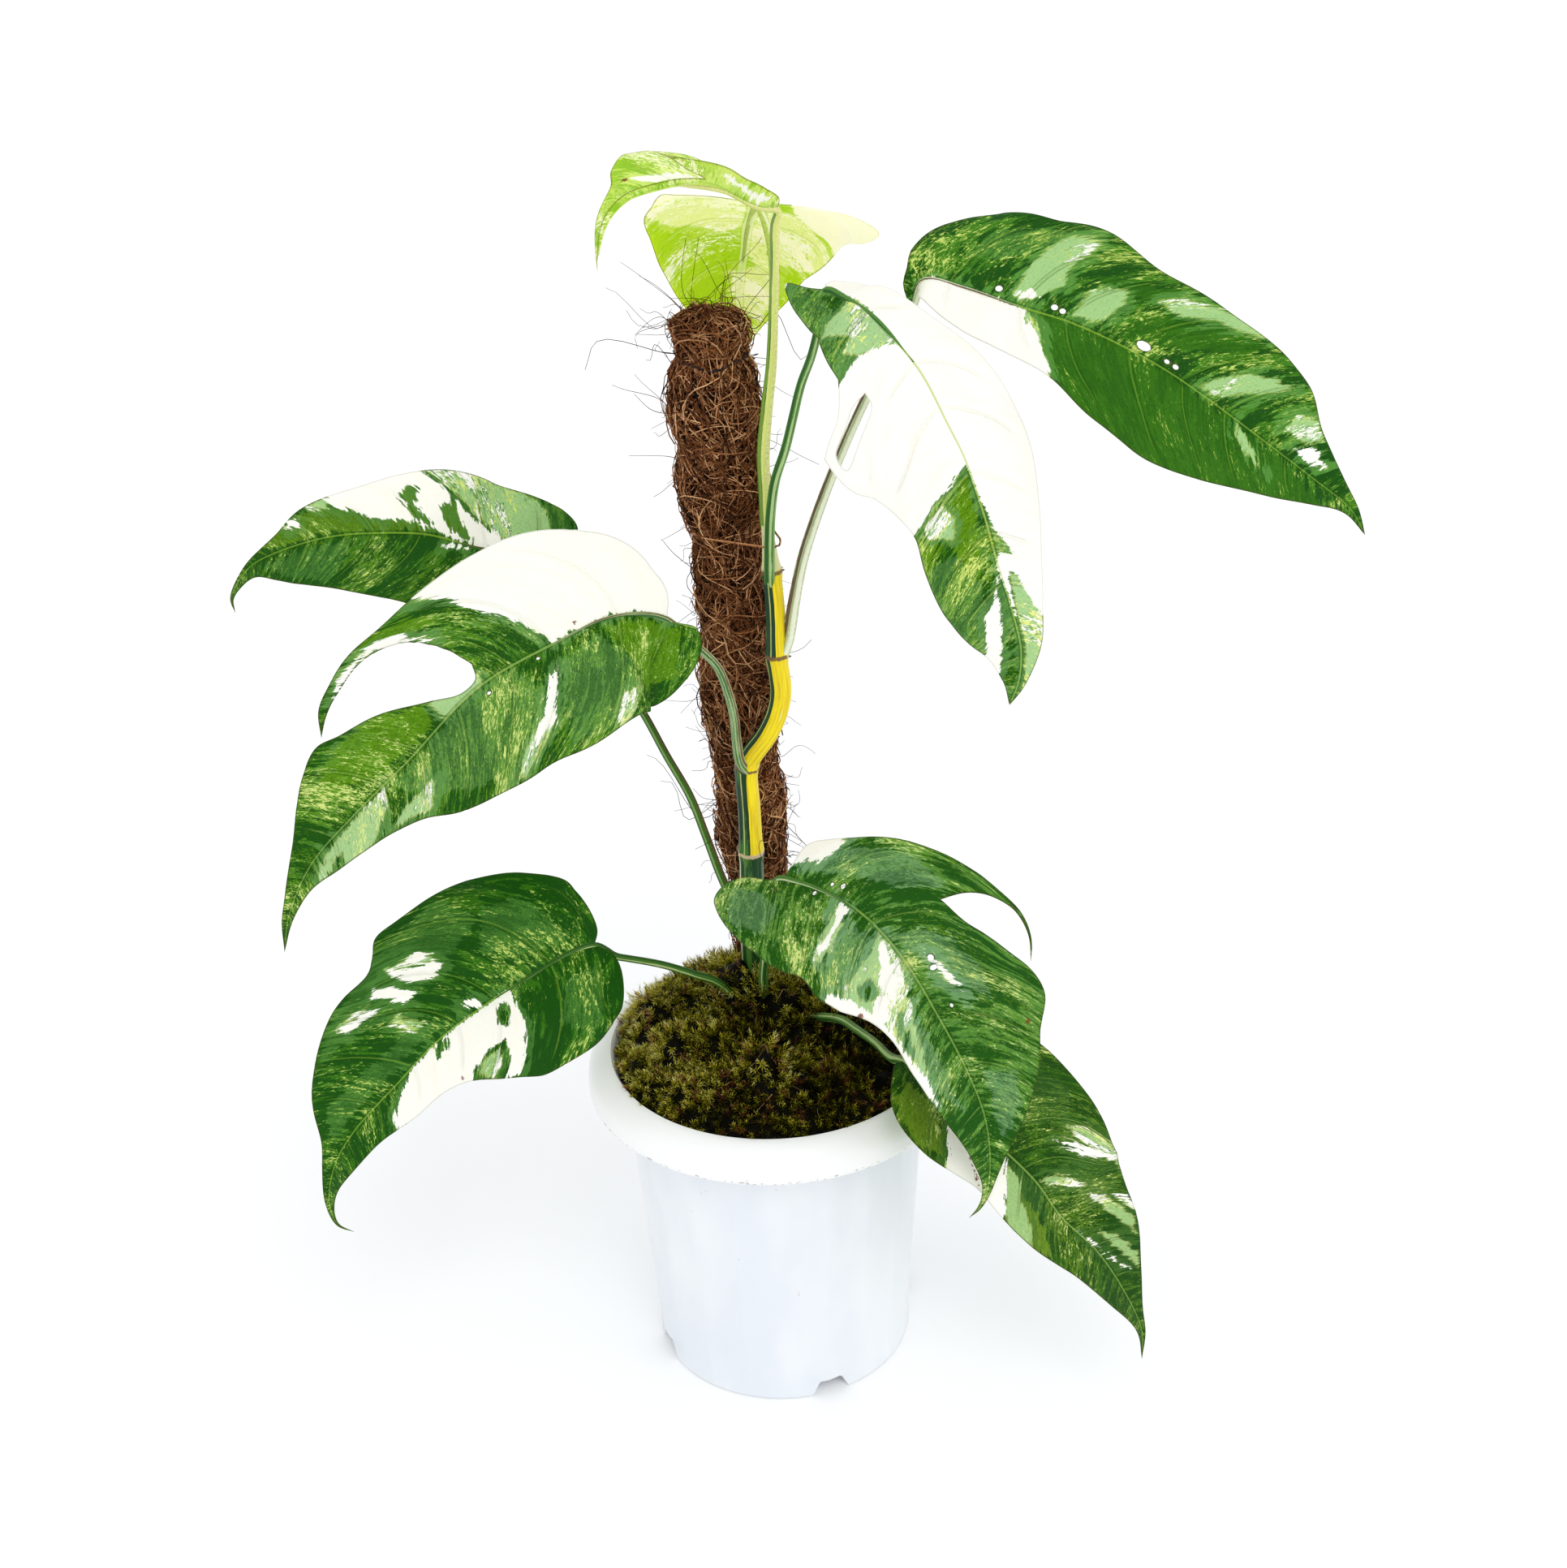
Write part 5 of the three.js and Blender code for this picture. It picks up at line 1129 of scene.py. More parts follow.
def stem_material():
    """Green up to the second node, then a yellow side whose seam moves at each node, and scarred rings."""
    s = Shader("stem_skin", roughness=0.36, specular=0.3)
    s.soak(weight=0.06, depth=0.002)
    place = s.attribute("stalk_place")
    _, share, turn = s.parts(place)
    ragged = s.noise(place, (0.03, 0, 6), (3, 0, 1), 4, 0.6)
    ridges = s.noise(place, (0.012, 0, 30), detail=2, rough=0.5)
    fine = s.noise(place, (0.05, 0, 30), detail=4, rough=0.65)
    seam = s.times_plus(s.step(share, 0.6, 0.61), -0.125, 0.495)
    seam = s.times_plus(s.step(share, 0.797, 0.803), 0.1, seam)
    around = s.stirred(s.minus(turn, seam), ragged, 0.05)
    dark = s.mix(s.step(ragged, 0.56, 0.6), (8, 56, 22), (56, 112, 34))
    dark = s.over(dark, (196, 206, 120), s.near(around, -0.075, 0.012, 0.006), 0.8)
    light = s.mix(s.step(fine, 0.42, 0.62), (250, 226, 0), (226, 194, 24))
    light = s.mix(s.step(ragged, 0.63, 0.66), light, (240, 232, 150))
    yellow = s.times(s.step(around, -0.005, 0.005), s.step(around, 0.47, 0.45))
    colour = s.mix(yellow, dark, light)
    rooted = s.mix(s.step(ragged, 0.5, 0.56), (20, 70, 26), (78, 124, 46))
    rooted = s.mix(s.near(turn, 0.3, 0.035, 0.02), rooted, (222, 222, 176))
    colour = s.mix(s.step(share, 0.458, 0.454), colour, rooted)
    colour = s.mix(s.step(share, 0.925, 0.94), colour, (226, 224, 168))
    ring = s.stirred(s.attribute("stem_ring", "Fac"), fine, 0.8)
    scar = s.mix(s.step(share, 0.5, 0.45), (112, 78, 48), (216, 188, 150))
    colour = s.over(colour, scar, s.step(ring, 0.5, 0.72), 0.92)
    return s.finish(colour, s.bump(ridges, 0.0005, 0.8))


def make_stem():
    def section(share, turn):
        return 1 + 0.03 * np.sin(turn * 9 + 5 * share) + 0.02 * np.sin(turn * 17 + 2)

    points, faces, where = tube(STEM, stem_radius, STEM_SIDES, STEM_STEP, (0, 1, 0), section)
    ring = np.max([bell(where[:, 1] - node, 0.0045) for node in STEM_NODES], 0)
    parts = [(points, faces, np.column_stack([where, ring]))]
    row, _ = evenly(STEM, STEM_STEP)
    random = np.random.default_rng(17)
    for node in STEM_NODES[1:]:
        root = row[round(node * (len(row) - 1)) - 2]
        for _ in range(NUBS_PER_NODE):
            turn = random.uniform(0.1, 0.9) * math.pi
            away = np.array([math.cos(turn), 0.7 * math.sin(turn) + 0.3, random.uniform(-0.2, 0.3)])
            places = [root, root + away * 3, root + away * random.uniform(5.4, 7)]
            nub, nub_faces, nub_where = tube(places, lambda t: 1 - 0.75 * t ** 2, NUB_SIDES, NUB_STEP)
            parts.append((nub, nub_faces, np.column_stack([nub_where, np.ones(len(nub))])))
    points, faces, extra = joined(parts)
    make_piece("climbing_stem", points, faces, stem_material(), ["stem"],
               attributes={"stalk_place": extra[:, :3], "stem_ring": extra[:, 3]})


# Coir pole, with heights along it in mm

POLE_FOOT = np.array((1, 36, 60))
POLE_HEAD = np.array((-13.4, 36, 432))
POLE_GIRTH = table([
    (60, 10), (150, 10.2), (199, 10.6), (205, 11.6), (213, 12.9), (232, 13.1), (251, 12.4), (259, 13),
    (268, 15.1), (279, 15.2), (292, 14.3), (302, 13.7), (308, 13.1), (318, 14.4), (327, 12.6), (336, 14.4),
    (346, 12.1), (356, 14.3), (368, 16.2), (376, 15.4), (383, 14.9), (390, 17.4), (396, 18), (402, 17.2),
    (406, 15.7), (411, 16.4), (415, 14), (418, 13.4), (424, 13.8), (430, 13.2)])
POLE_TOP = 429.5
POLE_SIDES = 72
DOME_END = 11.5

# Fibres start over the first of these heights, none shows under the second, and hairs start over the third
FIBRES_FROM = 138
FIBRES_STAY_OVER = 142
HAIRS_FROM = 160

# Each kind of fibre: how many there are, the places along each, their lengths, how far out they loop and
# their radii. The felt's own fibres lie close, and longer strands loop over them
FIBRES = {
    "coir_fibres": (3500, 10, (14, 34), 1.5, (0.16, 0.3)),
    "coir_strands": (1000, 17, (30, 75), 3, (0.18, 0.36)),
}
SIDE_HAIRS, TOP_HAIRS = 520, 45
HAIR_PLACES = 13
LONG_SHARE = 0.07
LONG_HAIR, SHORT_HAIR, TOP_HAIR = (16, 40), (4, 13), (9, 27)
TIE_AT = 416
STEM_TIE_AT = 350


def pole_axis(z):
    t = (np.asarray(z, float) - POLE_FOOT[2]) / (POLE_HEAD[2] - POLE_FOOT[2])
    return POLE_FOOT + (POLE_HEAD - POLE_FOOT) * t[..., None]


def pole_skin(way, turn, proud):
    """A place that far proud of the coir's lumpy face. A way past the top runs on over the domed end."""
    over = np.maximum(0, way - POLE_TOP)
    z = np.minimum(way, POLE_TOP)
    lumps = 0.6 * np.sin(3 * turn + z / 6) + 0.4 * np.sin(5 * turn - z / 4.2)
    lumps += 0.5 * np.sin(2 * turn + z / 11)
    radius = np.interp(z, *POLE_GIRTH) - 0.9 + lumps
    dome = np.minimum(2.2, over * 0.45) + 0.5 * np.sin(over * 1.3) * (over > 0)
    side = np.exp(-over / 1.5)
    out = np.stack([np.cos(turn), np.sin(turn), np.zeros_like(turn)], -1)
    place = pole_axis(z) + out * np.maximum(radius - over + proud * side, 0)[..., None]
    place[..., 2] += dome + proud * (1 - side)
    return place


def fibre_material(name, stops, rough=0.75):
    s = Shader(name, roughness=rough, specular=0.12)
    spread = s.noise(s.place(), (900, 900, 900), detail=2, rough=0.6)
    tone = s.stirred(s.attribute("fibre_tone", "Fac"), spread, 0.35)
    return s.finish(s.ramp(tone, *stops), s.bump(spread, 0.0001, 0.5))


COIR_STOPS = [(0.04, (10, 2, 0)), (0.26, (70, 33, 9)), (0.56, (148, 92, 52)), (0.95, (238, 186, 136))]


def wander(random, length, places, heading):
    """Paths over the pole's face as (way, turn): each sets out on its heading, bends and sways."""
    each = (len(length), 1)
    step = (length / (places - 1))[:, None]
    run = np.arange(places)[None] * step
    swing = random.normal(0, 0.7, each)
    sway = swing * np.sin(run / random.uniform(3.5, 8, each) + 6.3 * random.random(each))
    course = heading[:, None] + random.normal(0, 0.05, each) * run + sway
    way = random.uniform(FIBRES_FROM, POLE_TOP + 8, each) + np.cumsum(np.sin(course) * step, 1)
    girth = np.interp(way, *POLE_GIRTH)
    turn = random.uniform(0, FULL_TURN, each) + np.cumsum(np.cos(course) * step / girth, 1)
    return np.clip(way, FIBRES_STAY_OVER, POLE_TOP + DOME_END - 0.5), turn


def bound(way):
    """How freely a fibre stands off at each height: hardly at all under the cord."""
    return 1 - 0.85 * bell(way - TIE_AT, 3.4)


def add_hairs(name, material, paths, girth, tone):
    """A piece of thin strands that taper over their length, each with its own tone."""
    points, faces = hairs(paths, girth)
    tones = np.repeat(tone, paths.shape[1] * HAIR_SIDES)
    make_piece(name, points, faces, material, attributes={"fibre_tone": tones})


def make_pole():
    random = np.random.default_rng(23)
    dome = POLE_TOP + np.linspace(1, DOME_END, 9)
    heights = np.concatenate([np.linspace(POLE_FOOT[2], POLE_TOP, 190), dome])
    way, turn = np.meshgrid(heights, turns_of(POLE_SIDES), indexing="ij")
    pits = 0.5 * np.sin(way * 1.9 + 7 * turn) * np.sin(9 * turn - way * 0.8)
    pits += 0.35 * np.sin(way * 3.1 + 13 * turn)
    wall = pole_skin(way, turn, pits - 0.5).reshape(-1, 3)
    points = np.vstack([wall, pole_axis([POLE_FOOT[2]]), pole_axis([POLE_TOP]) + [0, 0, 2]])
    # The felt's tones sit at the dark end of the coir ramp. This is the coir's brown under the fibres,
    # darkened into painted shade for the gaps between them.
    tone = np.concatenate([0.04 + 0.1 * random.random(len(wall)), [0.1, 0.1]])
    felt = fibre_material("coir_felt", COIR_STOPS, 0.9)
    make_piece("coir_felt", points, rings(len(heights), POLE_SIDES), felt, ["pole_coir"],
               attributes={"fibre_tone": tone})
    fibres = fibre_material("coir_fibre", COIR_STOPS)
    for name, (count, places, lengths, lift, radii) in FIBRES.items():
        heading = random.normal(math.pi / 2, 0.8, count)
        way, turn = wander(random, random.uniform(*lengths, count), places, heading)
        swing = np.linspace(-1.2, 1.2, places)[None] * 4.5 + 6.3 * random.random((count, 1))
        proud = random.random((count, 1)) ** 1.4 * lift * (0.5 + 0.5 * np.sin(swing)) + 0.15
        paths = pole_skin(way, turn, proud * bound(way))
        girth = random.uniform(*radii, (count, 1)) * np.linspace(1, 0.75, places)[None]
        tone = np.clip(random.normal(0.5, 0.24, count), 0.06, 1)
        add_hairs(name, fibres, paths, girth, tone)

    # Loose hairs that stand off the sides, and more of them on the top
    count = SIDE_HAIRS + TOP_HAIRS
    way = np.concatenate([random.uniform(HAIRS_FROM, POLE_TOP, SIDE_HAIRS),
                          random.uniform(POLE_TOP - 2, POLE_TOP + 8, TOP_HAIRS)])
    high = way > POLE_TOP - 2
    turn = random.uniform(0, FULL_TURN, count)
    root = pole_skin(way, turn, -0.5)
    rise = np.where(high, random.uniform(0.6, 2.4, count), random.normal(0, 0.6, count))
    out = unit(np.stack([np.cos(turn), np.sin(turn), rise], 1))[:, None]
    bend = unit(random.normal(0, 1, (count, 3)) * np.array((1, 1, 0.9)))[:, None]
    twist = unit(random.normal(0, 1, (count, 3)))[:, None]
    far = random.random(count) < LONG_SHARE
    long = np.where(far, random.uniform(*LONG_HAIR, count), random.uniform(*SHORT_HAIR, count))
    long = np.where(high, random.uniform(*TOP_HAIR, count), long)[:, None, None]
    t = np.linspace(0, 1, HAIR_PLACES)[None, :, None]
    coil = np.sin(t * random.uniform(3.5, 9, (count, 1, 1))) * t
    paths = root[:, None] + long * (out * t * 0.62 + bend * t ** 2 * 0.95 + twist * coil * 0.32)
    girth = np.where(far, 0.21, 0.17)[:, None] * np.linspace(1, 0.5, HAIR_PLACES)[None]
    add_hairs("coir_loose_hairs", fibres, paths, girth, random.uniform(0.1, 0.42, count))


POLE_CORD_RADIUS = 0.34
STEM_STRAND_RADIUS = 0.24
STRAND_OFF_POLE = 1.9
STRAND_OFF_STEM = 4.3
CORD_STRANDS = 3
CORD_TWISTS = 14
CORD_SIDES = 7
CORD_PLACES = 160


def cord_loop(name, node, line, strand, material):
    """A cord of twisted strands drawn along a level ring of places."""
    turns = turns_of(len(line))
    out = np.stack([np.cos(turns), np.sin(turns), np.zeros(len(line))], 1)
    up = np.array((0, 0, 1))
    roll = turns_of(CORD_SIDES)[None, :, None]
    ring = strand * (out[:, None] * np.cos(roll) - up * np.sin(roll))
    parts = []
    for k in range(CORD_STRANDS):
        twist = (turns * CORD_TWISTS + FULL_TURN * k / CORD_STRANDS)[:, None]
        row = line + strand * 0.8 * (out * np.cos(twist) + up * np.sin(twist))
        points = (row[:, None] + ring).reshape(-1, 3)
        faces = rings(len(line), CORD_SIDES, looped=True)
        parts.append((points, faces, np.full(len(points), 0.35 + 0.2 * k)))
    points, faces, tone = joined(parts)
    make_piece(name, points, faces, material, [node], attributes={"fibre_tone": tone})


def make_cords():
    turns = turns_of(CORD_PLACES)
    sag = 0.8 * np.sin(turns * 2 + 1) + 0.5 * np.sin(turns * 5)
    dark = fibre_material("dark_cord", [(0.1, (14, 10, 10)), (0.5, (38, 30, 28)), (0.9, (76, 62, 56))])
    line = pole_skin(TIE_AT + sag, turns, 0.1)
    cord_loop("pole_cord", "pole_tie", line, POLE_CORD_RADIUS, dark)

    # The brown strand goes the shortest way round two circles: the pole and the stem
    brown = fibre_material("coir_strand", COIR_STOPS)
    x, y, _ = pole_axis(STEM_TIE_AT)
    centre = catmull(STEM)
    stem_x, stem_y = centre[np.argmin(np.abs(centre[:, 2] - STEM_TIE_AT))][:2]
    pole_reach = np.interp(STEM_TIE_AT, *POLE_GIRTH) + STRAND_OFF_POLE
    circles = np.array([(x, y, pole_reach), (stem_x, stem_y, STRAND_OFF_STEM)])
    out = np.stack([np.cos(turns), np.sin(turns)], 1)
    best = circles[np.argmax(out @ circles[:, :2].T + circles[:, 2], 1)]
    line = np.column_stack([best[:, :2] + out * best[:, 2:], STEM_TIE_AT + sag])
    cord_loop("stem_strand", "stem_tie", line, STEM_STRAND_RADIUS, brown)


# Moss

MOSS_RADIUS = 63
MOSS_EDGE = 140.5
MOSS_FOOT = 132.4
MOSS_RISE = 11
MOSS_CROWN = 20
MOSS_SINK = 1.8
TUFTS = 150
TUFT_LIFT = 4.6
SHOOTS = 3300
SHOOT_ROOT = 2.6
SHOOT_LENGTH = (3, 6.6)
SHOOT_TILT = 0.62
LEAFLETS = 15
LEAFLET_LENGTH = (1.6, 3.2)
LEAFLET_HALF_WIDTH = 0.11
SPIRAL = 2.4
STEM_FOOT_AT = (-7.3, 20.5)
CLEAR_OF_POLE = 11
CLEAR_OF_STEM = 5.5
LITTER = 90
LITTER_PLACES = 7
LITTER_LENGTH = (3, 11)


def moss_height(x, y, tufts):
    edge = np.minimum(1, np.hypot(x, y) / MOSS_RADIUS)
    mound = 1 - edge ** 4
    height = MOSS_EDGE + MOSS_RISE * mound + (MOSS_CROWN - MOSS_RISE) * mound * smooth(y, -30, 45)
    for tx, ty, spread, lift in tufts:
        near = ((x - tx) ** 2 + (y - ty) ** 2) / spread ** 2
        height = height + lift * np.exp(-near) * (1 - 0.6 * edge ** 6)
    return height


def moss_material():
    s = Shader("moss", roughness=0.6, specular=0.07)
    own, tip, dry = s.parts(s.attribute("moss_tone"))
    patch = s.noise(s.place(), (48, 48, 48), detail=3, rough=0.6)
    mixed = s.stirred(s.times_plus(own, 0.62, s.times(tip, 0.6)), patch, 0.7)
    green = s.ramp(mixed, (0.26, (6, 5, 0)), (0.46, (58, 58, 0)), (0.62, (140, 136, 4)),
                   (0.78, (240, 226, 70)), (0.96, (255, 253, 176)))
    brown = s.ramp(mixed, (0.26, (14, 6, 0)), (0.6, (124, 72, 30)), (0.96, (222, 172, 110)))
    return s.finish(s.mix(s.step(s.times_plus(patch, 0.5, dry), 1.1, 1.16), green, brown))


def strewn(random, reach, count=None):
    """A place on a disc of that reach, or as many as counted, spread evenly."""
    radius = reach * np.sqrt(random.random(count))
    turn = FULL_TURN * random.random(count)
    return radius * np.cos(turn), radius * np.sin(turn)


def make_moss_bed(tufts, material):
    rows, sides = 46, 150
    turn = turns_of(sides)
    r = np.linspace(MOSS_RADIUS, 0, rows + 1)[:-1]
    x = (r[:, None] * np.cos(turn)).ravel()
    y = (r[:, None] * np.sin(turn)).ravel()
    z = moss_height(x, y, tufts) - MOSS_SINK + 0.7 * np.sin(x * 1.3 + 2 * np.sin(y)) * np.sin(y * 1.5)
    crown = moss_height(0, 0, tufts) - MOSS_SINK
    foot = np.column_stack([x[:sides], y[:sides], np.full(sides, MOSS_FOOT)])
    points = np.vstack([foot, np.column_stack([x, y, z]), [[0, 0, MOSS_FOOT]], [[0, 0, crown]]])
    # The bed's low tones keep it near black under the shoots: painted shade for the gaps between them.
    make_piece("moss_bed", points, rings(rows + 1, sides), material, ["moss_cover"],
               attributes={"moss_tone": np.tile([0.12, 0.08, 0.3], (len(points), 1))})


def make_moss():
    random = np.random.default_rng(5)
    tufts = []
    for _ in range(TUFTS):
        x, y = strewn(random, MOSS_RADIUS)
        lift = TUFT_LIFT * (0.35 + 0.65 * random.random()) * (-0.9 if random.random() < 0.34 else 1)
        tufts.append((x, y, 3.5 + 4.5 * random.random(), lift))
    material = moss_material()
    make_moss_bed(tufts, material)

    # Leafy shoots: narrow leaflets in spirals, spread flat below and closing to a star at the tip
    x, y = strewn(random, MOSS_RADIUS - 0.4, SHOOTS)
    pole_x, pole_y, _ = pole_axis(150)
    free = np.hypot(x - pole_x, y - pole_y) > CLEAR_OF_POLE
    free &= np.hypot(x - STEM_FOOT_AT[0], y - STEM_FOOT_AT[1]) > CLEAR_OF_STEM
    x, y = x[free], y[free]
    count = len(x)
    high = moss_height(x, y, tufts)
    slope = np.column_stack([high - moss_height(x + 1, y, tufts), high - moss_height(x, y + 1, tufts),
                             np.ones(count)])
    axis = unit(unit(slope) + random.normal(0, SHOOT_TILT, (count, 3)))
    base = np.column_stack([x, y, high - SHOOT_ROOT])
    height = random.uniform(*SHOOT_LENGTH, count) + 0.25 * (high - MOSS_EDGE - 6)
    dry = random.random(count)
    spots = np.array(tufts)[:, :2]
    # Each shoot's tone mixes its own and its clump's random tone with painted light. Shoots on high clumps
    # are lighter than those in hollows, and shoots to the left and back are lighter, as if lit from there.
    clump = random.random(len(tufts))[np.argmin(np.hypot(x - spots[:, :1], y - spots[:, 1:]), 0)]
    relief = high - moss_height(x, y, [])
    own = 0.36 * random.random(count) + 0.4 * clump + 0.05 * relief + 0.5 * smooth(0.4 * y - x, 2, 46)
    own = np.clip(own, 0, 1)
    across = unit(np.cross(axis, unit(random.normal(0, 1, (count, 3)))))
    beside = np.cross(axis, across)
    points, tones = [], []
    for k in range(LEAFLETS):
        up = ((k + 0.7) / LEAFLETS) ** 0.8
        spin = SPIRAL * k + random.uniform(-0.3, 0.3, count)
        side = across * np.cos(spin)[:, None] + beside * np.sin(spin)[:, None]
        root = base + axis * (height * (0.25 + 0.75 * up))[:, None]
        lift = 0.35 + 0.9 * up ** 2
        size = random.uniform(*LEAFLET_LENGTH, count)[:, None] * (1.05 - 0.3 * up)
        out = (side * math.cos(lift) + axis * math.sin(lift)) * size
        wide = np.cross(axis, side) * size * LEAFLET_HALF_WIDTH
        quad = [root + wide, root - wide, root + out * 0.4 - axis * 0.1, root + out + axis * size * 0.12]
        points.append(np.stack(quad, 1).reshape(-1, 3))
        tip = np.tile([0.2, 0.2, 0.75, 1], count) * (0.2 + 0.8 * up ** 1.3)
        shade = 0.85 * own + 0.15 * random.random(count)
        tones.append(np.column_stack([np.repeat(shade, 4), tip, np.repeat(dry, 4)]))
    points = np.vstack(points)
    first = np.arange(0, len(points), 4)[:, None]
    faces = np.concatenate([first + np.array(f) for f in ((0, 1, 2), (0, 3, 1), (1, 3, 2), (2, 3, 0))])
    faces = faces.tolist()
    make_piece("moss_shoots", points, faces, material, attributes={"moss_tone": np.vstack(tones)})

    # Dry brown litter that lies on the moss
    x, y = strewn(random, 60, LITTER)
    way = random.uniform(0, FULL_TURN, LITTER)[:, None]
    long = random.uniform(*LITTER_LENGTH, LITTER)[:, None]
    t = np.linspace(-0.5, 0.5, LITTER_PLACES)[None]
    curl = random.normal(0, 0.35, LITTER)[:, None] * t ** 2 * long
    x = x[:, None] + np.cos(way) * t * long - np.sin(way) * curl
    y = y[:, None] + np.sin(way) * t * long + np.cos(way) * curl
    z = moss_height(x, y, tufts) + random.uniform(0.2, 2, (LITTER, 1))
    z += random.normal(0, 2, (LITTER, 1)) * t
    girth = random.uniform(0.1, 0.24, LITTER)[:, None] * np.linspace(1, 0.6, LITTER_PLACES)[None]
    litter = fibre_material("moss_litter", [(0.1, (44, 24, 18)), (0.5, (112, 74, 52)), (0.9, (176, 134, 96))])
    add_hairs("moss_litter", litter, np.stack([x, y, z], 2), girth, random.random(LITTER))


# Pot

RIM_RADIUS = 75
POT_HEIGHT = 141.7
FOOT_RADIUS = 52.6
NECK_RADIUS = 61.5
NECK_HEIGHT = 128
WALL = 1.8
FLOOR = 8
PAD_RADIUS = 18
POT_SIDES = 260
POT_STEP = 1.6
FACETS = 20
FACET_START = 0.7
FACET_HOLLOW = 0.7
FACETS_LOW, FACETS_HIGH = 0.5, 125.5
FOOT_RING = 6.9
RIM_LOW = 126.2
NOTCHES = 4
NOTCH_AT = 20.4
NOTCH_WIDTH = 17
NOTCH_HEIGHT = 7
DRAINS = 8
DRAIN_RADIUS = 4
DRAIN_RING = 34
DRAIN_SIDES = 24
DRILL_LENGTH = 6


def wall_radius(z):
    return FOOT_RADIUS + (NECK_RADIUS - FOOT_RADIUS) * z / NECK_HEIGHT


def pot_section():
    """Runs of the pot's section as (radius, height), each drawn as a smooth curve between sharp corners."""
    wall = [(wall_radius(z), z) for z in (2, NOTCH_HEIGHT + 5, 40, 70, 100, 124)]
    inner = [(wall_radius(z) - WALL, z) for z in (129, 100, 60, 20, FLOOR + 2)]
    return [
        [(0, 0), (PAD_RADIUS - 1, 0)], [(PAD_RADIUS, 0.3), (PAD_RADIUS + 4, FLOOR - 2)],
        [(FOOT_RADIUS - 7, FLOOR - 2)], [(FOOT_RADIUS - 5.2, 0.4), (FOOT_RADIUS - 4.8, 0)],
        [(FOOT_RADIUS - 0.8, 0), (FOOT_RADIUS, 0.7), *wall], [(NECK_RADIUS + 0.2, NECK_HEIGHT)],
        [(NECK_RADIUS + 3, 133)], [(RIM_RADIUS - 3.4, 130.5)], [(RIM_RADIUS - 2.4, 126.6)],
        [(RIM_RADIUS - 0.6, 126.4), (RIM_RADIUS, 127.2), (RIM_RADIUS + 0.02, 130), (RIM_RADIUS - 0.1, 133.4),
         (RIM_RADIUS - 1.2, 136.4), (RIM_RADIUS - 3, 138.6), (RIM_RADIUS - 5.6, 140.6),
         (RIM_RADIUS - 8.2, POT_HEIGHT), (RIM_RADIUS - 9.6, 141.5), (RIM_RADIUS - 10.3, 140.4)],
        [(RIM_RADIUS - 11.2, 132.8)], inner, [(wall_radius(FLOOR) - WALL - 2, FLOOR)],
        [(PAD_RADIUS + 5, FLOOR)], [(PAD_RADIUS, 2.4)], [(0, 2.4)],
    ]


def pot_material():
    """White plastic, faintly blue and cloudy, its rim painted whiter than the wall as painted light, a little
    dirty under the rim, with a few stray specks.
    """
    s = Shader("pot_plastic", roughness=0.36, specular=0.5)
    s.soak(weight=0.06, depth=0.003, radius=(1, 1, 1))
    place = s.place()
    height = s.parts(place)[2]
    cloud = s.noise(place, (30, 30, 12))
    speck = s.noise(place, (520, 520, 700), detail=2, rough=0.4)
    stray = s.noise(place, (260, 260, 260), (4, 1, 2), 2, 0.3)
    micro = s.noise(place, (2600, 2600, 2600), detail=2, rough=0.5)
    waves = s.noise(place, (55, 55, 8), detail=2, rough=0.5)
    wall = s.mix(s.step(cloud, 0.35, 0.7), (227, 232, 238), (237, 240, 244))
    over_edge = s.times_plus(height, 1 / MM, -RIM_LOW)
    # Above the rim's lower edge the colour turns whiter: painted light on the rim, which is the same plastic
    # as the wall.
    colour = s.mix(s.step(over_edge, 0, 0.8), wall, (246, 246, 246))
    seam = s.times(s.step(over_edge, 0, 0.6), s.step(over_edge, 2.3, 1.7))
    dirt = s.times(s.step(speck, 0.58, 0.66), seam)
    colour = s.over(colour, (140, 124, 112), dirt, 0.6)
    colour = s.over(colour, (150, 146, 142), s.step(stray, 0.78, 0.8), 0.25)
    normal = s.bump(micro, 0.00003, 0.35, s.bump(waves, 0.0004, 0.25))
    return s.finish(colour, normal, s.times_plus(cloud, 0.14, 0.28))


def pot_places():
    """The pot's section from the middle of its base, up over the rim and down to the middle of its floor."""
    section = []
    for run in pot_section():
        start = section[-1:]
        places = [*start, *run]
        if len(places) > 2:
            places = evenly(places, POT_STEP)[0].tolist()
        section += places[len(start):]
    return np.array(section)


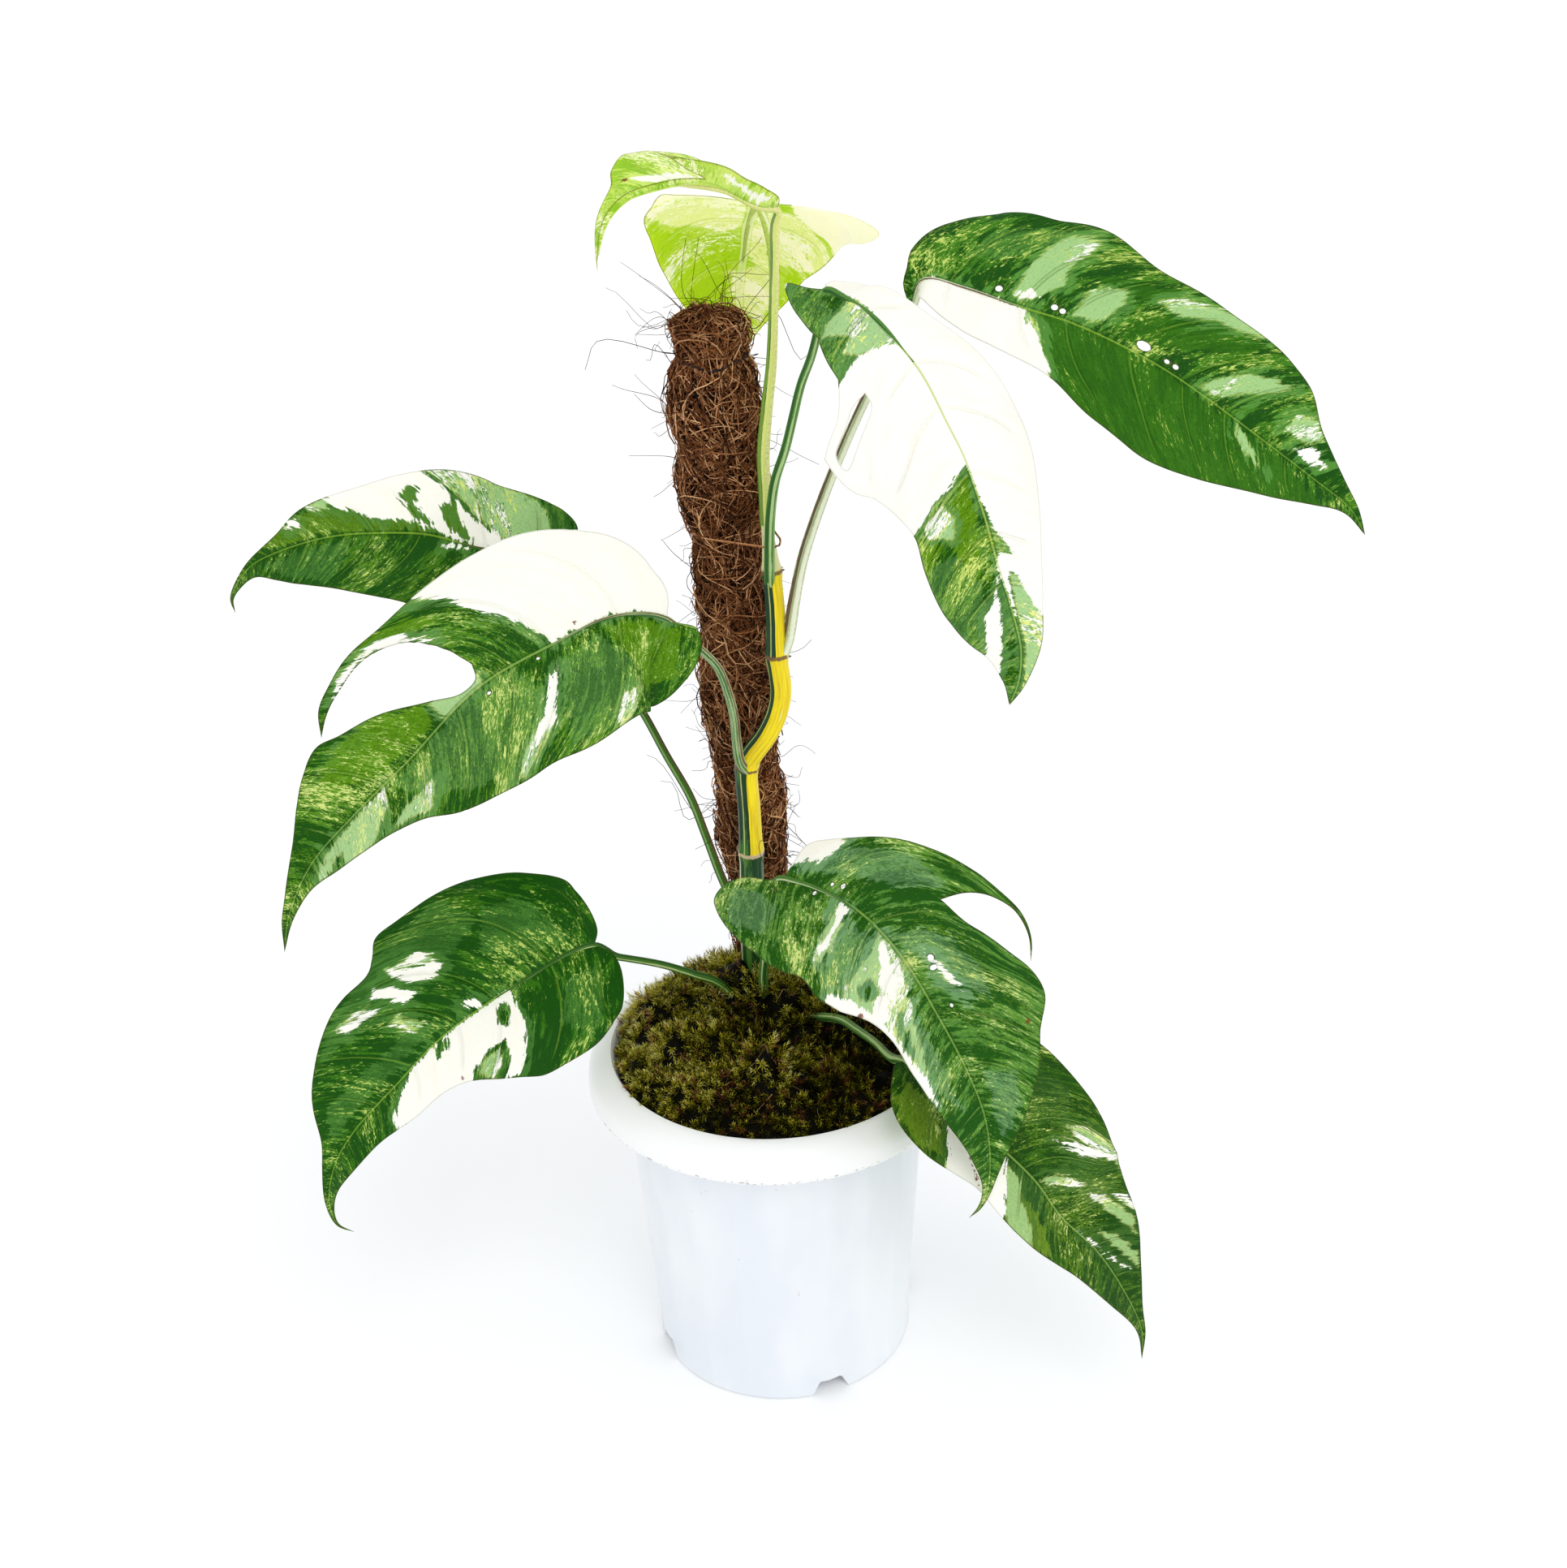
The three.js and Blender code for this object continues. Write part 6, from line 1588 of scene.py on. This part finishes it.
def make_pot():
    section = pot_places()
    turn = turns_of(POT_SIDES)
    r, z = (section[1:-1, k, None] * np.ones(POT_SIDES) for k in (0, 1))
    facet, quarter = FULL_TURN / FACETS, FULL_TURN / NOTCHES
    across = ((turn - math.radians(FACET_START)) % facet) / facet
    outer = (z > FACETS_LOW) & (z < FACETS_HIGH) & (r > wall_radius(z) - WALL / 2)
    r = r - np.where(outer, 0.1 + FACET_HOLLOW * np.sin(math.pi * across) ** 0.8 * smooth(z, 0, 4), 0)
    swing = (turn - math.radians(NOTCH_AT) + quarter / 2) % quarter - quarter / 2
    arch = NOTCH_HEIGHT * (1 - smooth(np.abs(swing) * FOOT_RADIUS, NOTCH_WIDTH / 4, NOTCH_WIDTH / 2))
    foot_ring = r > FOOT_RADIUS - FOOT_RING
    lifted = np.minimum(arch, np.where(r < FOOT_RADIUS - 3, FLOOR - 2, arch))
    z = np.where(foot_ring & (z < arch), lifted, z)
    points = np.stack([r * np.sin(turn), -r * np.cos(turn), z], 2).reshape(-1, 3)
    points = np.vstack([points, [(0, 0, section[0][1])], [(0, 0, section[-1][1])]])
    faces = rings(len(section) - 2, POT_SIDES)
    pot = make_piece("nursery_pot", points, faces, pot_material(), ["pot"], sharp=38)
    cutters = []
    for turn in turns_of(DRAINS):
        bpy.ops.mesh.primitive_cylinder_add(
            vertices=DRAIN_SIDES, radius=DRAIN_RADIUS * MM, depth=DRILL_LENGTH * MM,
            location=(DRAIN_RING * math.cos(turn) * MM, DRAIN_RING * math.sin(turn) * MM, (FLOOR - 1) * MM))
        cutters.append(bpy.context.object)
    bpy.ops.object.select_all(action="DESELECT")
    for cutter in cutters:
        cutter.select_set(True)
    bpy.context.view_layer.objects.active = cutters[0]
    bpy.ops.object.join()
    drill = bpy.context.object
    cut = pot.modifiers.new("drains", "BOOLEAN")
    cut.object, cut.operation, cut.solver = drill, "DIFFERENCE", "EXACT"
    bpy.context.view_layer.objects.active = pot
    bpy.ops.object.modifier_apply(modifier=cut.name)
    bpy.data.objects.remove(drill)


# The frame's own nodes that show only through gaps

def earth_material():
    s = Shader("potting_mix", roughness=0.95, specular=0.2)
    crumbs = s.noise(s.place(), (420, 420, 420), detail=4, rough=0.65)
    return s.finish(s.ramp(crumbs, (0.3, (22, 14, 9)), (0.6, (58, 40, 26)), (0.8, (104, 80, 56))),
                    s.bump(crumbs, 0.0008, 0.9))


def wood_material():
    s = Shader("stake_wood", roughness=0.7, specular=0.25)
    rays = s.noise(s.place(), (380, 380, 14), detail=4, rough=0.6)
    return s.finish(s.ramp(rays, (0.3, (96, 66, 40)), (0.7, (158, 120, 80))), s.bump(rays, 0.0003, 0.6))


def repaint(node, material):
    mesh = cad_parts[node].data
    mesh.materials.clear()
    mesh.materials.append(material)


# Stage

def sunlight(name, heading, height, softness, power, colour=(1, 1, 1)):
    """A soft far light from a heading (0 is the front, 90 the right) and a height, both in degrees."""
    data = bpy.data.lights.new(name, "SUN")
    data.energy, data.angle, data.color = power, math.radians(softness), colour
    light = bpy.data.objects.new(name, data)
    bpy.context.collection.objects.link(light)
    around, up = math.radians(heading), math.radians(height)
    origin = Vector((math.sin(around) * math.cos(up), -math.cos(around) * math.cos(up), math.sin(up)))
    light.rotation_euler = (-origin).to_track_quat("-Z", "Y").to_euler()


def make_stage():
    s = Shader("paper_sweep", roughness=0.9, specular=0.1)
    tint = s.noise(s.place(), (1.5, 1.5, 1.5), detail=2, rough=0.5)
    s.finish(s.mix(tint, (250, 251, 252), (251, 251, 252)))
    s.set("Emission Color", (1, 1, 1, 1))
    s.set("Emission Strength", 0.04)
    bpy.ops.mesh.primitive_plane_add(size=24, location=(0, 2, 0))
    floor = bpy.context.object
    floor.name = "floor"
    floor.data.materials.append(s.material)
    world = bpy.data.worlds.new("studio")
    world.use_nodes = True
    colour, strength = world.node_tree.nodes["Background"].inputs[:2]
    colour.default_value, strength.default_value = (0.972, 0.984, 1, 1), 0.91
    bpy.context.scene.world = world
    sunlight("key", heading=12, height=50, softness=30, power=0.55, colour=(1, 0.985, 0.96))
    sunlight("fill", heading=70, height=22, softness=50, power=0.33)
    sunlight("left_fill", heading=-72, height=26, softness=50, power=0.17)
    bpy.context.scene.view_settings.view_transform = "Standard"
    bpy.context.scene.view_settings.look = "None"


make_camera()
for number, leaf in enumerate(LEAVES, 1):
    bend = Bend(leaf)
    points, faces, attributes = blade(leaf, bend)
    name = leaf["name"]
    material = leaf_material(name + "_tissue", LEAF_LOOKS[leaf["look"]], number, bend.length)
    make_piece(name + "_blade", points, faces, material, [name], sharp=60, attributes=attributes)
    points, faces, where = petiole(leaf, bend)
    make_piece(name + "_stalk", points, faces, stalk_material(name, number),
               attributes={"stalk_place": where})
make_stem()
make_pole()
make_cords()
make_moss()
make_pot()
repaint("potting_mix", earth_material())
repaint("pole_stake", wood_material())
make_stage()
